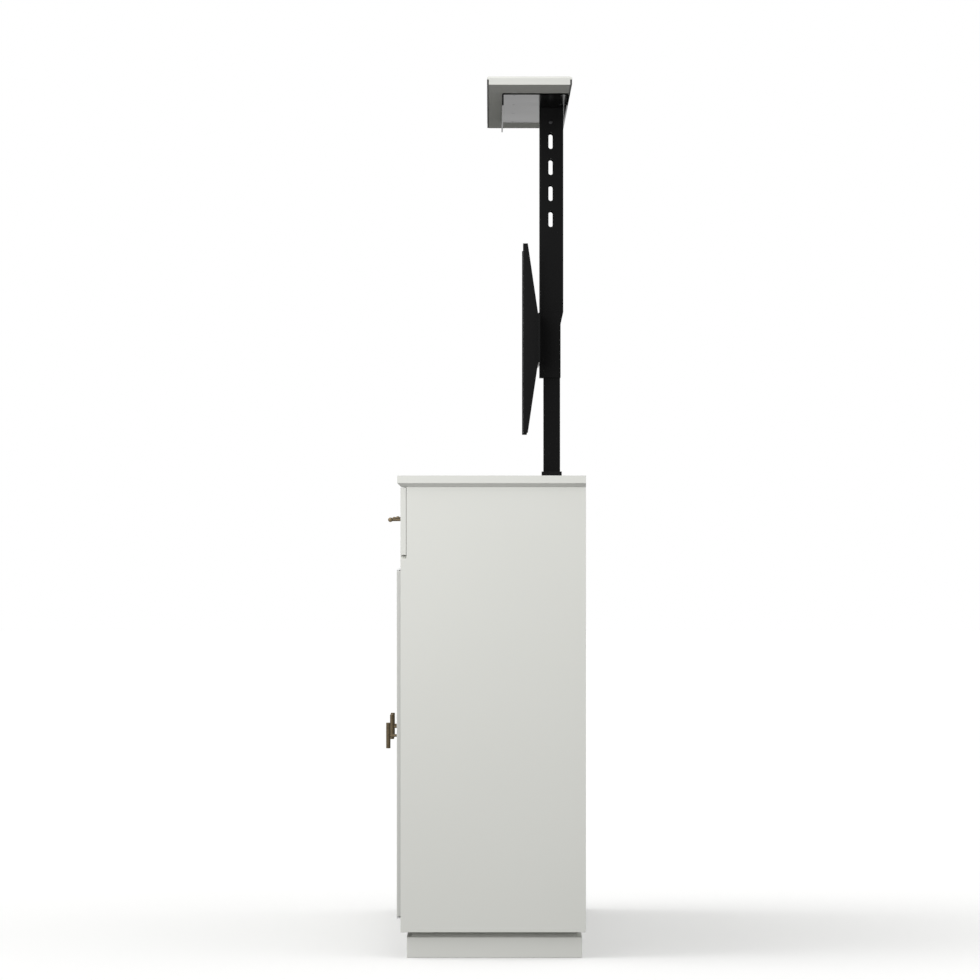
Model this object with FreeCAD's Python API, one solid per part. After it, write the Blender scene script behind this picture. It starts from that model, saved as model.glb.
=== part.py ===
"""TV lift cabinet: a long low cabinet whose rear compartment holds a telescopic lift.

Millimetres, +Z up, +X to the right of someone facing the doors, front towards -Y. The origin is
on the floor, in the middle of the box around the whole cabinet. The lift is drawn raised.
"""
import FreeCAD, Part
import math
import os

Vector = FreeCAD.Vector

# ---------------------------------------------------------------- driving dimensions
TOP_LENGTH = 1524.0
TOP_DEPTH = 397.0
TOP_THICKNESS = 24.0
TOP_CHAMFER = 8.0
CABINET_HEIGHT = 1016.0
END_OVERHANG = 8.5
FRONT_OVERHANG = 6.8

BOARD = 18.0                 # sides, bottom, partitions, doors, shelves, plinth
PANEL = 12.0                 # back, divider and drawer fronts
PLINTH_HEIGHT = 55.0
PLINTH_END_SETBACK = 14.0
PLINTH_FRONT_SETBACK = 13.3
PLINTH_REAR_SETBACK = 8.0
GLIDE_THICKNESS = 3.0
GLIDE_DIAMETER = 22.0
GLIDES_PER_ROW = 3

BAYS = 3
BOTTOM_RAIL_HEIGHT = 30.0
DRAWER_BOARD_THICKNESS = 30.0
DRAWER_SPACE_HEIGHT = 145.0  # from the drawer board to the underside of the top
NOTCH_DROP = 6.0             # the sides' notches end below the drawer board's top
BACK_INSET = 4.0
DIVIDER_SETBACK = 2.0        # rear face of the divider, ahead of the lid opening

LID_THICKNESS = 18.0
LID_GAP = 2.5
LID_CORNER = 1.2
OPENING_DEPTH = 184.8
OPENING_REAR_BORDER = 26.0
OPENING_END_BORDER = 34.0
LIFT_TRAVEL = 842.0

DOOR_PROUD = 8.2             # how far the doors stand ahead of the carcass
DOOR_GAP = 2.2
EDGE_ROUND = 1.2
PIVOT_INSET = 9.0            # pivot pin from the door's hinge edge
PIVOT_DIAMETER = 5.0
PIVOT_RUNNING_GAP = 0.05     # radial
PIVOT_DEPTH = 10.0           # pin inside the door
PIVOT_LEAF_LENGTH = 46.0
PIVOT_LEAF_WIDTH = 13.0
PIVOT_LEAF_THICKNESS = 2.4
PIVOT_EDGE = 5.0             # metal left around the pin
PIVOT_BOSS_DIAMETER = 8.0
MOVING_GAP = 0.4             # between pieces that slide or turn past each other

CATCH_LENGTH = 40.0
CATCH_HEIGHT = 13.0
CATCH_DEPTH = 16.0
STRIKE_THICKNESS = 1.5

DRAWER_FRONT_SEAT = 0.6      # air behind the drawer fronts
DRAWER_FRONT_GAP = 3.0       # between neighbouring fronts
DRAWER_TOP_GAP = 1.2
DRAWER_BOTTOM_GAP = 1.4
DRAWER_WALL = 12.0
DRAWER_BOTTOM = 6.0
DRAWER_BOX_HEIGHT = 105.0
DRAWER_BOX_LIFT = 12.0       # box above the drawer board
DRAWER_SIDE_GAP = 6.0
DRAWER_BACK_GAP = 6.0
RUNNER_HEIGHT = 16.0
RUNNER_ENGAGE = 6.0
RUNNER_LENGTH = 114.0

KNOB_REACH = 30.0            # from the face it is fixed to, to the front of the bar
KNOB_BAR_DIAMETER = 9.6
KNOB_BAR_LENGTH = 56.0
KNOB_POST_DIAMETER = 6.0
KNOB_BAR_ROUND = 0.8
KNOB_STUD_DIAMETER = 4.0
KNOB_STUD_LENGTH = 8.0
KNOB_INSET = 40.0            # from the door's free edge
DRAWER_KNOB_RISE = 2.5       # above the middle of the drawer front

SHELF_CLEARANCE = 1.0
SHELF_FRONT_SETBACK = 12.0
SHELF_RISE = 357.0           # shelf underside above the bottom panel
PIN_DIAMETER = 5.0
PIN_IN_BOARD = 8.0
PIN_OUT = 8.0
PIN_END_SETBACK = 30.0

COLUMN_TO_BACK = 48.25       # column axis from the inside of the back panel
INNER_WIDTH = 54.0
INNER_DEPTH = 37.0
TUBE_WALL = 2.0
STAGE_GAP = 0.5
COLLAR_LIP = 1.2             # collar outside the middle tube
COLLAR_HEIGHT = 18.0
COLLAR_SEAT = 12.0           # how far the collar reaches down the middle tube
COLLAR_OUT = 12.0            # collar above the cabinet top when raised
STAGE_STOP_GAP = 1.0
BASE_WIDTH = 220.0
BASE_DEPTH = 84.0
BASE_THICKNESS = 5.0
BASE_BOLT_INSET = 12.0
GEARBOX_HEIGHT = 26.0
GEARBOX_WALL = 3.0
NUT_HEIGHT = 16.0
SCREW_DIAMETER = 12.0
SCREW_FLANGE = 4.0
HOLLOW_DIAMETER = 20.0
HOLLOW_BORE = 13.0
HOLLOW_FLANGE_DIAMETER = 28.0
SCREW_RUNNING_GAP = 0.08
GEAR_MODULE = 2.0
GEAR_FACE = 12.0
SCREW_GEAR_TEETH = 35
PINION_TEETH = 25
GEAR_BACKLASH = 0.35
PRESSURE_ANGLE = 20.0
FLANK_STEPS = 6
PINION_SHAFT_DIAMETER = 8.0
MOTOR_DIAMETER = 50.0
MOTOR_LENGTH = 120.0
MOTOR_CAP_DIAMETER = 40.0
MOTOR_CAP_LENGTH = 8.0
TIE_WIDTH = 46.0
TIE_FOOT = 92.0
TIE_SHEET = 3.0
TIE_HEIGHT = 30.0
TIE_DROP = 12.0              # tie bracket below the outer tube's top

MAST_SHEET = 2.5
MAST_SIDE_GAP = 2.0
MAST_FRONT_GAP = 1.5
MAST_DEPTH = 53.0
MAST_LENGTH = 600.3
MAST_BEND = 3.0
CHEEK_HEIGHT = 146.3         # above the mast's lower end
CHEEK_DEPTH = 47.0
CHEEK_SLANT = 27.0
SLOTS = 4
SLOT_PITCH = 57.9
SLOT_WIDTH = 9.6
SLOT_LENGTH = 36.0
SLOT_FROM_TOP = 73.0
SLOT_FROM_FRONT = 25.0        # slots and head screws from the mast's front face
HEAD_SCREW_DIAMETER = 5.0
HEAD_SCREW_HEAD_DIAMETER = 9.0
HEAD_SCREW_HEAD_HEIGHT = 2.2
HEAD_SCREW_FROM_TOP = 31.5

TRAY_LENGTH = 932.0
TRAY_SHEET = 3.0
TRAY_FLANGE = 25.8
TRAY_DEPTH = 141.7
TRAY_REAR_REACH = 30.5       # tray rear behind the column axis
TRAY_BEND = 3.0
HEAD_EAR = 50.0
TRAY_SCREWS_PER_ROW = 4

CROSSBAR_HEIGHT = 109.0
CROSSBAR_RISE = 28.8         # above the mast's lower end
CROSSBAR_LENGTH = 510.0
CROSSBAR_DEPTH = 4.5
CROSSBAR_EDGE = 1.0
SCREEN_PITCH = 400.0         # hole pitch across and up
SCREEN_HOLE_DIAMETER = 8.4
ARM_BEYOND_HOLE = 7.75       # the arms end this far past their outer screen holes
ARM_WIDTH = 38.0
ARM_DEPTH = 33.0
ARM_END_DEPTH = 10.5
ARM_SHEET = 2.5
ARM_BEND = 2.5
ARM_SLOTS = 3                # lower hole rows besides the full pitch
INNER_REACH = 328.3          # how far the inner tube runs up inside the mast
SPACER_HEIGHT = 95.0
SPACER_WIDTH = 44.0
BOLT_DIAMETER = 8.0
BOLT_HEAD_HEIGHT = 5.0
BOLT_HEAD_DIAMETER = 13.0
LID_SCREW_DIAMETER = 4.0
LID_SCREW_HEAD_DIAMETER = 8.0
LID_SCREW_HEAD_HEIGHT = 2.2  # countersunk into the tray

CONTROL_LENGTH = 160.0
CONTROL_DEPTH = 50.0
CONTROL_HEIGHT = 36.0
CONTROL_ROUND = 2.5
SERVICE_X = 330.0            # inlet and cable hole from the middle
INLET_HEIGHT = 60.0          # inlet and cable hole above the bottom panel
INLET_WIDTH = 27.0
INLET_TALL = 20.0
INLET_DEPTH = 22.0
INLET_FLANGE_WIDTH = 50.0
INLET_FLANGE_TALL = 24.0
INLET_FLANGE_THICKNESS = 2.0
INLET_WALL = 2.0
BLADE_WIDTH = 2.0
BLADE_TALL = 5.0
BLADE_PITCH = 7.0
BLADE_RISE = 2.0
BLADE_RECESS = 5.0           # blades end this far inside the back panel's rear face
CABLE_HOLE_DIAMETER = 60.0
VENTS_PER_GROUP = 5
VENT_LENGTH = 150.0
VENT_WIDTH = 8.0
VENT_PITCH = 20.0
VENT_DROP = 60.0

# ---------------------------------------------------------------- planes that pieces share
depth_all = TOP_DEPTH - FRONT_OVERHANG + DOOR_PROUD + KNOB_REACH
y_rear = depth_all / 2
y_top_front = y_rear - TOP_DEPTH
y_front = y_top_front + FRONT_OVERHANG
y_door = y_front - DOOR_PROUD
y_back = y_rear - BACK_INSET - PANEL
y_opening_rear = y_rear - OPENING_REAR_BORDER
y_opening_front = y_opening_rear - OPENING_DEPTH
y_divider_rear = y_opening_front - DIVIDER_SETBACK
y_divider = y_divider_rear - PANEL
y_notch = y_front + PANEL + DRAWER_FRONT_SEAT
y_col = y_back - COLUMN_TO_BACK

x_end = TOP_LENGTH / 2
x_out = x_end - END_OVERHANG
x_in = x_out - BOARD
x_opening = x_end - OPENING_END_BORDER
bay_width = (2 * x_in - (BAYS - 1) * BOARD) / BAYS

z_top = CABINET_HEIGHT
z_under = z_top - TOP_THICKNESS
z_drawer = z_under - DRAWER_SPACE_HEIGHT
z_rail = z_drawer - DRAWER_BOARD_THICKNESS
z_base = PLINTH_HEIGHT
z_floor = z_base + BOARD
z_door = z_base + BOTTOM_RAIL_HEIGHT

z_lid = z_top - LID_THICKNESS + LIFT_TRAVEL
z_mast_top = z_lid - TRAY_SHEET
z_mast = z_mast_top - MAST_LENGTH
z_cheek_top = z_mast + CHEEK_HEIGHT
z_crossbar = z_mast + CROSSBAR_RISE
z_screen = z_crossbar + CROSSBAR_HEIGHT / 2
arm_reach = SCREEN_PITCH / 2 + ARM_BEYOND_HOLE
z_tube_top = z_mast + INNER_REACH
z_shelf = z_floor + SHELF_RISE

bay_starts = [-x_in + bay * (bay_width + BOARD) for bay in range(BAYS)]
bay_names = ["left", "centre", "right"]
# +1 where the door swings on its right edge, -1 on its left
door_hinge_sides = [-1, 1, 1]

# lift column: each stage slides in the next with STAGE_GAP
middle_width = INNER_WIDTH + 2 * (STAGE_GAP + TUBE_WALL)
middle_depth = INNER_DEPTH + 2 * (STAGE_GAP + TUBE_WALL)
outer_width = middle_width + 2 * (STAGE_GAP + TUBE_WALL)
outer_depth = middle_depth + 2 * (STAGE_GAP + TUBE_WALL)
mast_inner = outer_width / 2 + MAST_SIDE_GAP
mast_outer = mast_inner + MAST_SHEET
y_web = y_col - outer_depth / 2 - MAST_FRONT_GAP
y_mast = y_web - MAST_SHEET
y_slot = y_mast + SLOT_FROM_FRONT
y_crossbar = y_mast - CROSSBAR_DEPTH
y_arm = y_crossbar - ARM_DEPTH

z_plate = z_floor + BASE_THICKNESS
z_column = z_plate + GEARBOX_HEIGHT
z_collar_top = z_top + COLLAR_OUT
z_collar = z_collar_top - COLLAR_HEIGHT
z_middle_top = z_collar + COLLAR_SEAT
z_outer_top = z_collar - LIFT_TRAVEL / 2 - STAGE_STOP_GAP
z_middle = z_column + STAGE_STOP_GAP + LIFT_TRAVEL / 2
z_hollow = z_middle + NUT_HEIGHT
z_inner = z_hollow + SCREW_FLANGE + STAGE_STOP_GAP + LIFT_TRAVEL / 2
pitch_radius_screw = GEAR_MODULE * SCREW_GEAR_TEETH / 2
pitch_radius_pinion = GEAR_MODULE * PINION_TEETH / 2
x_motor = pitch_radius_screw + pitch_radius_pinion


# ---------------------------------------------------------------- helpers
def block(x, y, z):
    """A box between two X, two Y and two Z values."""
    shape = Part.makeBox(x[1] - x[0], y[1] - y[0], z[1] - z[0])
    shape.translate(Vector(x[0], y[0], z[0]))
    return shape


def rod(start, length, diameter, axis):
    """A round bar from start along axis."""
    return Part.makeCylinder(diameter / 2, length, Vector(*start), Vector(*axis))


def slot(centre, length, width, depth, long_axis, cut_axis):
    """A round-ended cutter: centre is the middle of its near face."""
    half = (length - width) / 2
    along = Vector(*long_axis)
    through = Vector(*cut_axis)
    across = through.cross(along)
    middle = Vector(*centre)
    corners = [middle + along * (a * half) + across * (b * width / 2)
               for a, b in ((-1, -1), (1, -1), (1, 1), (-1, 1))]
    bar = Part.Face(Part.makePolygon(corners + corners[:1])).extrude(through * depth)
    ends = [Part.makeCylinder(width / 2, depth, middle + along * (side * half), through)
            for side in (-1, 1)]
    return bar.fuse(ends).removeSplitter()


def tube(width, depth, wall, z):
    """An upright rectangular tube around the column axis."""
    outer = block((-width / 2, width / 2), (y_col - depth / 2, y_col + depth / 2), z)
    inner = block((-width / 2 + wall, width / 2 - wall),
                  (y_col - depth / 2 + wall, y_col + depth / 2 - wall), z)
    return outer.cut(inner)


def eased(shape, radius):
    """All edges of a plain board rounded."""
    return shape.makeFillet(radius, shape.Edges)


def edges_at(shape, axis, value):
    """The edges whose middle lies at one value of an axis."""
    return [edge for edge in shape.Edges if abs(getattr(edge.CenterOfMass, axis) - value) < 1e-6]


def save(name, *shapes):
    """One STEP file for one named piece, or for a group of like pieces."""
    shape = shapes[0] if len(shapes) == 1 else Part.makeCompound(list(shapes))
    shape.exportStep(os.path.join("parts", name + ".step"))


def shelf_pin_rows():
    """Pin centres: Y and Z, shared by the boards and the pins."""
    z = z_shelf - PIN_DIAMETER / 2
    front = y_door + BOARD + SHELF_FRONT_SETBACK + PIN_END_SETBACK
    rear = y_divider - PIN_END_SETBACK
    return [(front, z), (rear, z)]


def drill_pin_holes(board, x, direction):
    """Blind holes for the shelf pins, bored into a board's face at x."""
    for y, z in shelf_pin_rows():
        board = board.cut(rod((x, y, z), PIN_IN_BOARD, PIN_DIAMETER, (direction, 0, 0)))
    return board


# ---------------------------------------------------------------- carcass
def top_panel():
    panel = block((-x_end, x_end), (y_top_front, y_rear), (z_under, z_top))
    ends = [edge for edge in edges_at(panel, "z", z_under)
            if edge.CenterOfMass.y < y_rear - TOP_CHAMFER]
    panel = panel.makeChamfer(TOP_CHAMFER, ends)
    opening = block((-x_opening, x_opening), (y_opening_front, y_opening_rear), (z_under, z_top))
    return panel.cut(opening)


def side_panel(side):
    x = (x_in, x_out) if side > 0 else (-x_out, -x_in)
    panel = block(x, (y_front, y_rear), (z_base, z_under))
    panel = panel.cut(block(x, (y_front, y_notch), (z_drawer - NOTCH_DROP, z_under)))
    return drill_pin_holes(panel, side * x_in, side)


def lower_partition(index):
    x = bay_starts[index] - BOARD
    board = block((x, x + BOARD), (y_front, y_divider), (z_floor, z_rail))
    board = board.cut(block((x, x + BOARD), (y_front, y_front + BOARD), (z_floor, z_door)))
    board = drill_pin_holes(board, x, 1)
    return drill_pin_holes(board, x + BOARD, -1)


def upper_partition(index):
    x = bay_starts[index] - BOARD
    return block((x, x + BOARD), (y_notch, y_divider), (z_drawer, z_under))


def drawer_board():
    """The board between doors and drawers, let in for the upper pivot plates."""
    board = block((-x_in, x_in), (y_front, y_divider), (z_rail, z_drawer))
    for bay in range(BAYS):
        board = board.cut(pivot_leaf(bay, z_rail, 1))
    return board


def bottom_rail():
    rail = block((-x_in, x_in), (y_front, y_front + BOARD), (z_base, z_door))
    for bay in range(BAYS):
        rail = rail.cut(pivot_leaf(bay, z_door, -1))
    return rail


def back_panel():
    panel = block((-x_in, x_in), (y_back, y_back + PANEL), (z_floor, z_under))
    z = z_floor + INLET_HEIGHT
    inlet = block((-SERVICE_X - INLET_WIDTH / 2, -SERVICE_X + INLET_WIDTH / 2),
                  (y_back, y_back + PANEL), (z - INLET_TALL / 2, z + INLET_TALL / 2))
    cable = rod((SERVICE_X, y_back, z), PANEL, CABLE_HOLE_DIAMETER, (0, 1, 0))
    panel = panel.cut(inlet).cut(cable)
    for x in (-SERVICE_X, SERVICE_X):
        for row in range(VENTS_PER_GROUP):
            centre = (x, y_back, z_under - VENT_DROP - row * VENT_PITCH)
            panel = panel.cut(slot(centre, VENT_LENGTH, VENT_WIDTH, PANEL, (1, 0, 0), (0, 1, 0)))
    return panel


def plinth_boards():
    x = x_out - PLINTH_END_SETBACK
    y = (y_front + PLINTH_FRONT_SETBACK, y_rear - PLINTH_REAR_SETBACK)
    z = (GLIDE_THICKNESS, z_base)
    front = block((-x, x), (y[0], y[0] + BOARD), z)
    rear = block((-x, x), (y[1] - BOARD, y[1]), z)
    ends = [block(sorted((side * x, side * (x - BOARD))), (y[0] + BOARD, y[1] - BOARD), z)
            for side in (-1, 1)]
    return [front, rear] + ends


def glides():
    """Round glides under the front and rear plinth boards."""
    reach = x_out - PLINTH_END_SETBACK - BOARD
    rows = (y_front + PLINTH_FRONT_SETBACK + BOARD / 2, y_rear - PLINTH_REAR_SETBACK - BOARD / 2)
    steps = [-reach + 2 * reach * step / (GLIDES_PER_ROW - 1) for step in range(GLIDES_PER_ROW)]
    return [rod((x, y, 0), GLIDE_THICKNESS, GLIDE_DIAMETER, (0, 0, 1)) for y in rows for x in steps]


def shelf(bay):
    x = bay_starts[bay]
    y = (y_door + BOARD + SHELF_FRONT_SETBACK, y_divider - SHELF_CLEARANCE)
    return block((x + SHELF_CLEARANCE, x + bay_width - SHELF_CLEARANCE), y,
                 (z_shelf, z_shelf + BOARD))


def shelf_pins():
    pins = []
    for bay in range(BAYS):
        for x, direction in ((bay_starts[bay], 1), (bay_starts[bay] + bay_width, -1)):
            for y, z in shelf_pin_rows():
                start = (x - direction * PIN_IN_BOARD, y, z)
                pins.append(rod(start, PIN_IN_BOARD + PIN_OUT, PIN_DIAMETER, (direction, 0, 0)))
    return pins


# ---------------------------------------------------------------- doors
def door_span(bay):
    return bay_starts[bay] + DOOR_GAP, bay_starts[bay] + bay_width - DOOR_GAP


def pivot_point(bay):
    """X and Y of a door's pivot axis: in the half of the door ahead of the carcass."""
    x = door_span(bay)[1 if door_hinge_sides[bay] > 0 else 0]
    return x - door_hinge_sides[bay] * PIVOT_INSET, y_front - DOOR_PROUD / 2


def pivot_leaf(bay, z, direction):
    """A pivot hinge leaf that starts at height z and goes up (+1) or down (-1) into its board."""
    x, y = pivot_point(bay)
    side = door_hinge_sides[bay]
    nose = DOOR_PROUD / 2
    xs = sorted((x + side * PIVOT_EDGE, x + side * (PIVOT_EDGE - PIVOT_LEAF_LENGTH)))
    zs = sorted((z, z + direction * PIVOT_LEAF_THICKNESS))
    return block(xs, (y - nose, y - nose + PIVOT_LEAF_WIDTH), zs)


def fixed_pivots(bay):
    """The cabinet's two pivot plates of a door, each with its pin and a spacing boss."""
    x, y = pivot_point(bay)
    plates = []
    for z, direction in ((z_door, 1), (z_rail, -1)):
        pin = rod((x, y, z), DOOR_GAP + PIVOT_DEPTH, PIVOT_DIAMETER, (0, 0, direction))
        ring = rod((x, y, z), DOOR_GAP - MOVING_GAP, PIVOT_BOSS_DIAMETER, (0, 0, direction))
        plates.append(pivot_leaf(bay, z, -direction).fuse([pin, ring]).removeSplitter())
    return plates


def door_pivots(bay):
    """The leaves let into the door's ends, bored for the pins."""
    x, y = pivot_point(bay)
    bore = PIVOT_DIAMETER + 2 * PIVOT_RUNNING_GAP
    leaves = []
    for z, direction in ((z_door + DOOR_GAP, 1), (z_rail - DOOR_GAP, -1)):
        hole = rod((x, y, z), PIVOT_LEAF_THICKNESS, bore, (0, 0, direction))
        leaves.append(pivot_leaf(bay, z, direction).cut(hole))
    return leaves


def knob_x(bay):
    left, right = door_span(bay)
    return left + KNOB_INSET if door_hinge_sides[bay] > 0 else right - KNOB_INSET


def catch_x(bay):
    """Middle of a door's magnetic catch, clear of the door's free edge."""
    left, right = door_span(bay)
    return left + CATCH_LENGTH if door_hinge_sides[bay] > 0 else right - CATCH_LENGTH


def z_door_middle():
    return (z_door + z_rail) / 2


def door(bay):
    left, right = door_span(bay)
    z = (z_door + DOOR_GAP, z_rail - DOOR_GAP)
    board = eased(block((left, right), (y_door, y_door + BOARD), z), EDGE_ROUND)
    x, y = pivot_point(bay)
    for end, direction in ((z[0], 1), (z[1], -1)):
        board = board.cut(pivot_leaf(bay, end, direction))
        clear = PIVOT_DIAMETER + 2 * MOVING_GAP
        board = board.cut(rod((x, y, end), PIVOT_DEPTH + MOVING_GAP, clear, (0, 0, direction)))
    stud = rod((knob_x(bay), y_door, z_door_middle()), KNOB_STUD_LENGTH, KNOB_STUD_DIAMETER,
               (0, 1, 0))
    return board.cut(stud)


def catch(bay):
    """Magnetic catch under the drawer board, just behind the strike plate."""
    x = catch_x(bay)
    y = y_door + BOARD + STRIKE_THICKNESS + MOVING_GAP
    return block((x - CATCH_LENGTH / 2, x + CATCH_LENGTH / 2), (y, y + CATCH_DEPTH),
                 (z_rail - CATCH_HEIGHT, z_rail))


def strike(bay):
    x = catch_x(bay)
    y = y_door + BOARD
    return block((x - CATCH_LENGTH / 2, x + CATCH_LENGTH / 2), (y, y + STRIKE_THICKNESS),
                 (z_rail - DOOR_GAP - CATCH_HEIGHT, z_rail - DOOR_GAP - EDGE_ROUND))


def knob(x, y, z, bar_axis):
    """T-bar knob on a face at y: one post, a round bar across its end, a stud into the wood."""
    y_bar = y - KNOB_REACH + KNOB_BAR_DIAMETER / 2
    start = Vector(x, y_bar, z) - Vector(*bar_axis) * (KNOB_BAR_LENGTH / 2)
    bar = rod(tuple(start), KNOB_BAR_LENGTH, KNOB_BAR_DIAMETER, bar_axis)
    bar = bar.makeFillet(KNOB_BAR_ROUND, bar.Edges)
    post = rod((x, y_bar, z), y - y_bar, KNOB_POST_DIAMETER, (0, 1, 0))
    stud = rod((x, y_bar, z), y - y_bar + KNOB_STUD_LENGTH, KNOB_STUD_DIAMETER, (0, 1, 0))
    return bar.fuse([post, stud]).removeSplitter()


# ---------------------------------------------------------------- drawers
def drawer_span(bay):
    """Left and right ends of a drawer front: the outer ones reach the sides' outer faces."""
    left = -x_out if bay == 0 else bay_starts[bay] - BOARD / 2 + DRAWER_FRONT_GAP / 2
    right = x_out
    if bay < BAYS - 1:
        right = bay_starts[bay] + bay_width + BOARD / 2 - DRAWER_FRONT_GAP / 2
    return left, right


def drawer_middle(bay):
    z_middle = (z_drawer + DRAWER_BOTTOM_GAP + z_under - DRAWER_TOP_GAP) / 2
    return sum(drawer_span(bay)) / 2, z_middle + DRAWER_KNOB_RISE


def drawer_front(bay):
    z = (z_drawer + DRAWER_BOTTOM_GAP, z_under - DRAWER_TOP_GAP)
    board = eased(block(drawer_span(bay), (y_front, y_front + PANEL), z), EDGE_ROUND)
    x, z_middle_front = drawer_middle(bay)
    return board.cut(rod((x, y_front, z_middle_front), KNOB_STUD_LENGTH, KNOB_STUD_DIAMETER,
                         (0, 1, 0)))


def runner_z():
    middle = z_drawer + DRAWER_BOX_LIFT + DRAWER_BOX_HEIGHT / 2
    return middle - RUNNER_HEIGHT / 2, middle + RUNNER_HEIGHT / 2


def drawer_box(bay):
    """Open-topped box, grooved along both sides for the runners."""
    x = (bay_starts[bay] + DRAWER_SIDE_GAP, bay_starts[bay] + bay_width - DRAWER_SIDE_GAP)
    y = (y_front + PANEL, y_divider - DRAWER_BACK_GAP)
    z = (z_drawer + DRAWER_BOX_LIFT, z_drawer + DRAWER_BOX_LIFT + DRAWER_BOX_HEIGHT)
    box = block(x, y, z)
    hollow = block((x[0] + DRAWER_WALL, x[1] - DRAWER_WALL), (y[0] + DRAWER_WALL, y[1] - DRAWER_WALL),
                   (z[0] + DRAWER_BOTTOM, z[1]))
    groove_z = (runner_z()[0] - MOVING_GAP, runner_z()[1] + MOVING_GAP)
    groove_y = (y_notch + DRAWER_WALL - MOVING_GAP, y[1])
    groove = RUNNER_ENGAGE + MOVING_GAP
    left = block((x[0], x[0] + groove), groove_y, groove_z)
    right = block((x[1] - groove, x[1]), groove_y, groove_z)
    return box.cut(hollow).cut(left).cut(right)


def drawer_runners(bay):
    """Two plain runners, screwed to the boards beside the bay."""
    width = DRAWER_SIDE_GAP + RUNNER_ENGAGE
    y = (y_notch + DRAWER_WALL, y_notch + DRAWER_WALL + RUNNER_LENGTH)
    left = bay_starts[bay]
    right = left + bay_width
    return [block((left, left + width), y, runner_z()), block((right - width, right), y, runner_z())]


# ---------------------------------------------------------------- lift: fixed pieces
def base_bolt_points():
    x = BASE_WIDTH / 2 - BASE_BOLT_INSET
    y = BASE_DEPTH / 2 - BASE_BOLT_INSET
    return [(a * x, y_col + b * y) for a in (-1, 1) for b in (-1, 1)]


def base_plate():
    plate = block((-BASE_WIDTH / 2, BASE_WIDTH / 2), (y_col - BASE_DEPTH / 2, y_col + BASE_DEPTH / 2),
                  (z_floor, z_plate))
    for x, y in base_bolt_points():
        plate = plate.cut(rod((x, y, z_floor), BASE_THICKNESS, BOLT_DIAMETER, (0, 0, 1)))
    return plate


def bottom_panel():
    panel = block((-x_in, x_in), (y_front + BOARD, y_back + PANEL), (z_base, z_floor))
    for x, y in base_bolt_points():
        panel = panel.cut(rod((x, y, z_base), BOARD, BOLT_DIAMETER, (0, 0, 1)))
    return panel


def base_bolts():
    bolts = []
    for x, y in base_bolt_points():
        shank = rod((x, y, z_base), BOARD + BASE_THICKNESS, BOLT_DIAMETER, (0, 0, 1))
        head = rod((x, y, z_plate), BOLT_HEAD_HEIGHT, BOLT_HEAD_DIAMETER, (0, 0, 1))
        bolts.append(shank.fuse(head).removeSplitter())
    return bolts


def gear_space(radius, x, z):
    return rod((x, y_col, z[0]), z[1] - z[0], 2 * (radius + GEAR_MODULE + MOVING_GAP), (0, 0, 1))


def gearbox_housing():
    """A closed flat case around the two gears; the screw and the motor shaft enter from above."""
    z = (z_plate, z_column)
    inside = (z[0] + GEARBOX_WALL, z[1] - GEARBOX_WALL)
    wall = 2 * (GEARBOX_WALL + GEAR_MODULE + MOVING_GAP)
    screw_side = rod((0, y_col, z[0]), GEARBOX_HEIGHT, 2 * pitch_radius_screw + wall, (0, 0, 1))
    motor_side = rod((x_motor, y_col, z[0]), GEARBOX_HEIGHT, 2 * pitch_radius_pinion + wall, (0, 0, 1))
    half = pitch_radius_pinion + GEAR_MODULE + GEARBOX_WALL
    bridge = block((0, x_motor), (y_col - half, y_col + half), z)
    case = screw_side.fuse([motor_side, bridge]).removeSplitter()
    case = case.cut(gear_space(pitch_radius_screw, 0, inside))
    case = case.cut(gear_space(pitch_radius_pinion, x_motor, inside))
    for x, diameter in ((0, SCREW_DIAMETER), (x_motor, PINION_SHAFT_DIAMETER)):
        bore = diameter + 2 * SCREW_RUNNING_GAP
        case = case.cut(rod((x, y_col, inside[1]), GEARBOX_WALL, bore, (0, 0, 1)))
    return case


def motor():
    """Gearmotor can standing on the gearbox, with a narrower end cap and a shaft bore."""
    can = rod((x_motor, y_col, z_column), MOTOR_LENGTH, MOTOR_DIAMETER, (0, 0, 1))
    cap = rod((x_motor, y_col, z_column + MOTOR_LENGTH), MOTOR_CAP_LENGTH, MOTOR_CAP_DIAMETER,
              (0, 0, 1))
    bore = rod((x_motor, y_col, z_column), NUT_HEIGHT + MOVING_GAP,
               PINION_SHAFT_DIAMETER + 2 * SCREW_RUNNING_GAP, (0, 0, 1))
    return can.fuse(cap).cut(bore).removeSplitter()


def outer_tube():
    return tube(outer_width, outer_depth, TUBE_WALL, (z_column, z_outer_top))


def column_tie():
    """Steel bracket from the outer tube back to the back panel."""
    top = z_outer_top - TIE_DROP
    y = (y_col + outer_depth / 2, y_back)
    z = (top - TIE_HEIGHT, top)
    stem = block((-TIE_WIDTH / 2, TIE_WIDTH / 2), y, z)
    inside = block((-TIE_WIDTH / 2 + TIE_SHEET, TIE_WIDTH / 2 - TIE_SHEET),
                   (y[0] + TIE_SHEET, y[1]), z)
    foot = block((-TIE_FOOT / 2, TIE_FOOT / 2), (y_back - TIE_SHEET, y_back), z)
    return stem.cut(inside).fuse(foot).removeSplitter()


def control_box():
    x = -SERVICE_X + CONTROL_LENGTH / 2
    box = block((x - CONTROL_LENGTH, x), (y_col - CONTROL_DEPTH / 2, y_col + CONTROL_DEPTH / 2),
                (z_floor, z_floor + CONTROL_HEIGHT))
    return eased(box, CONTROL_ROUND)


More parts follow.
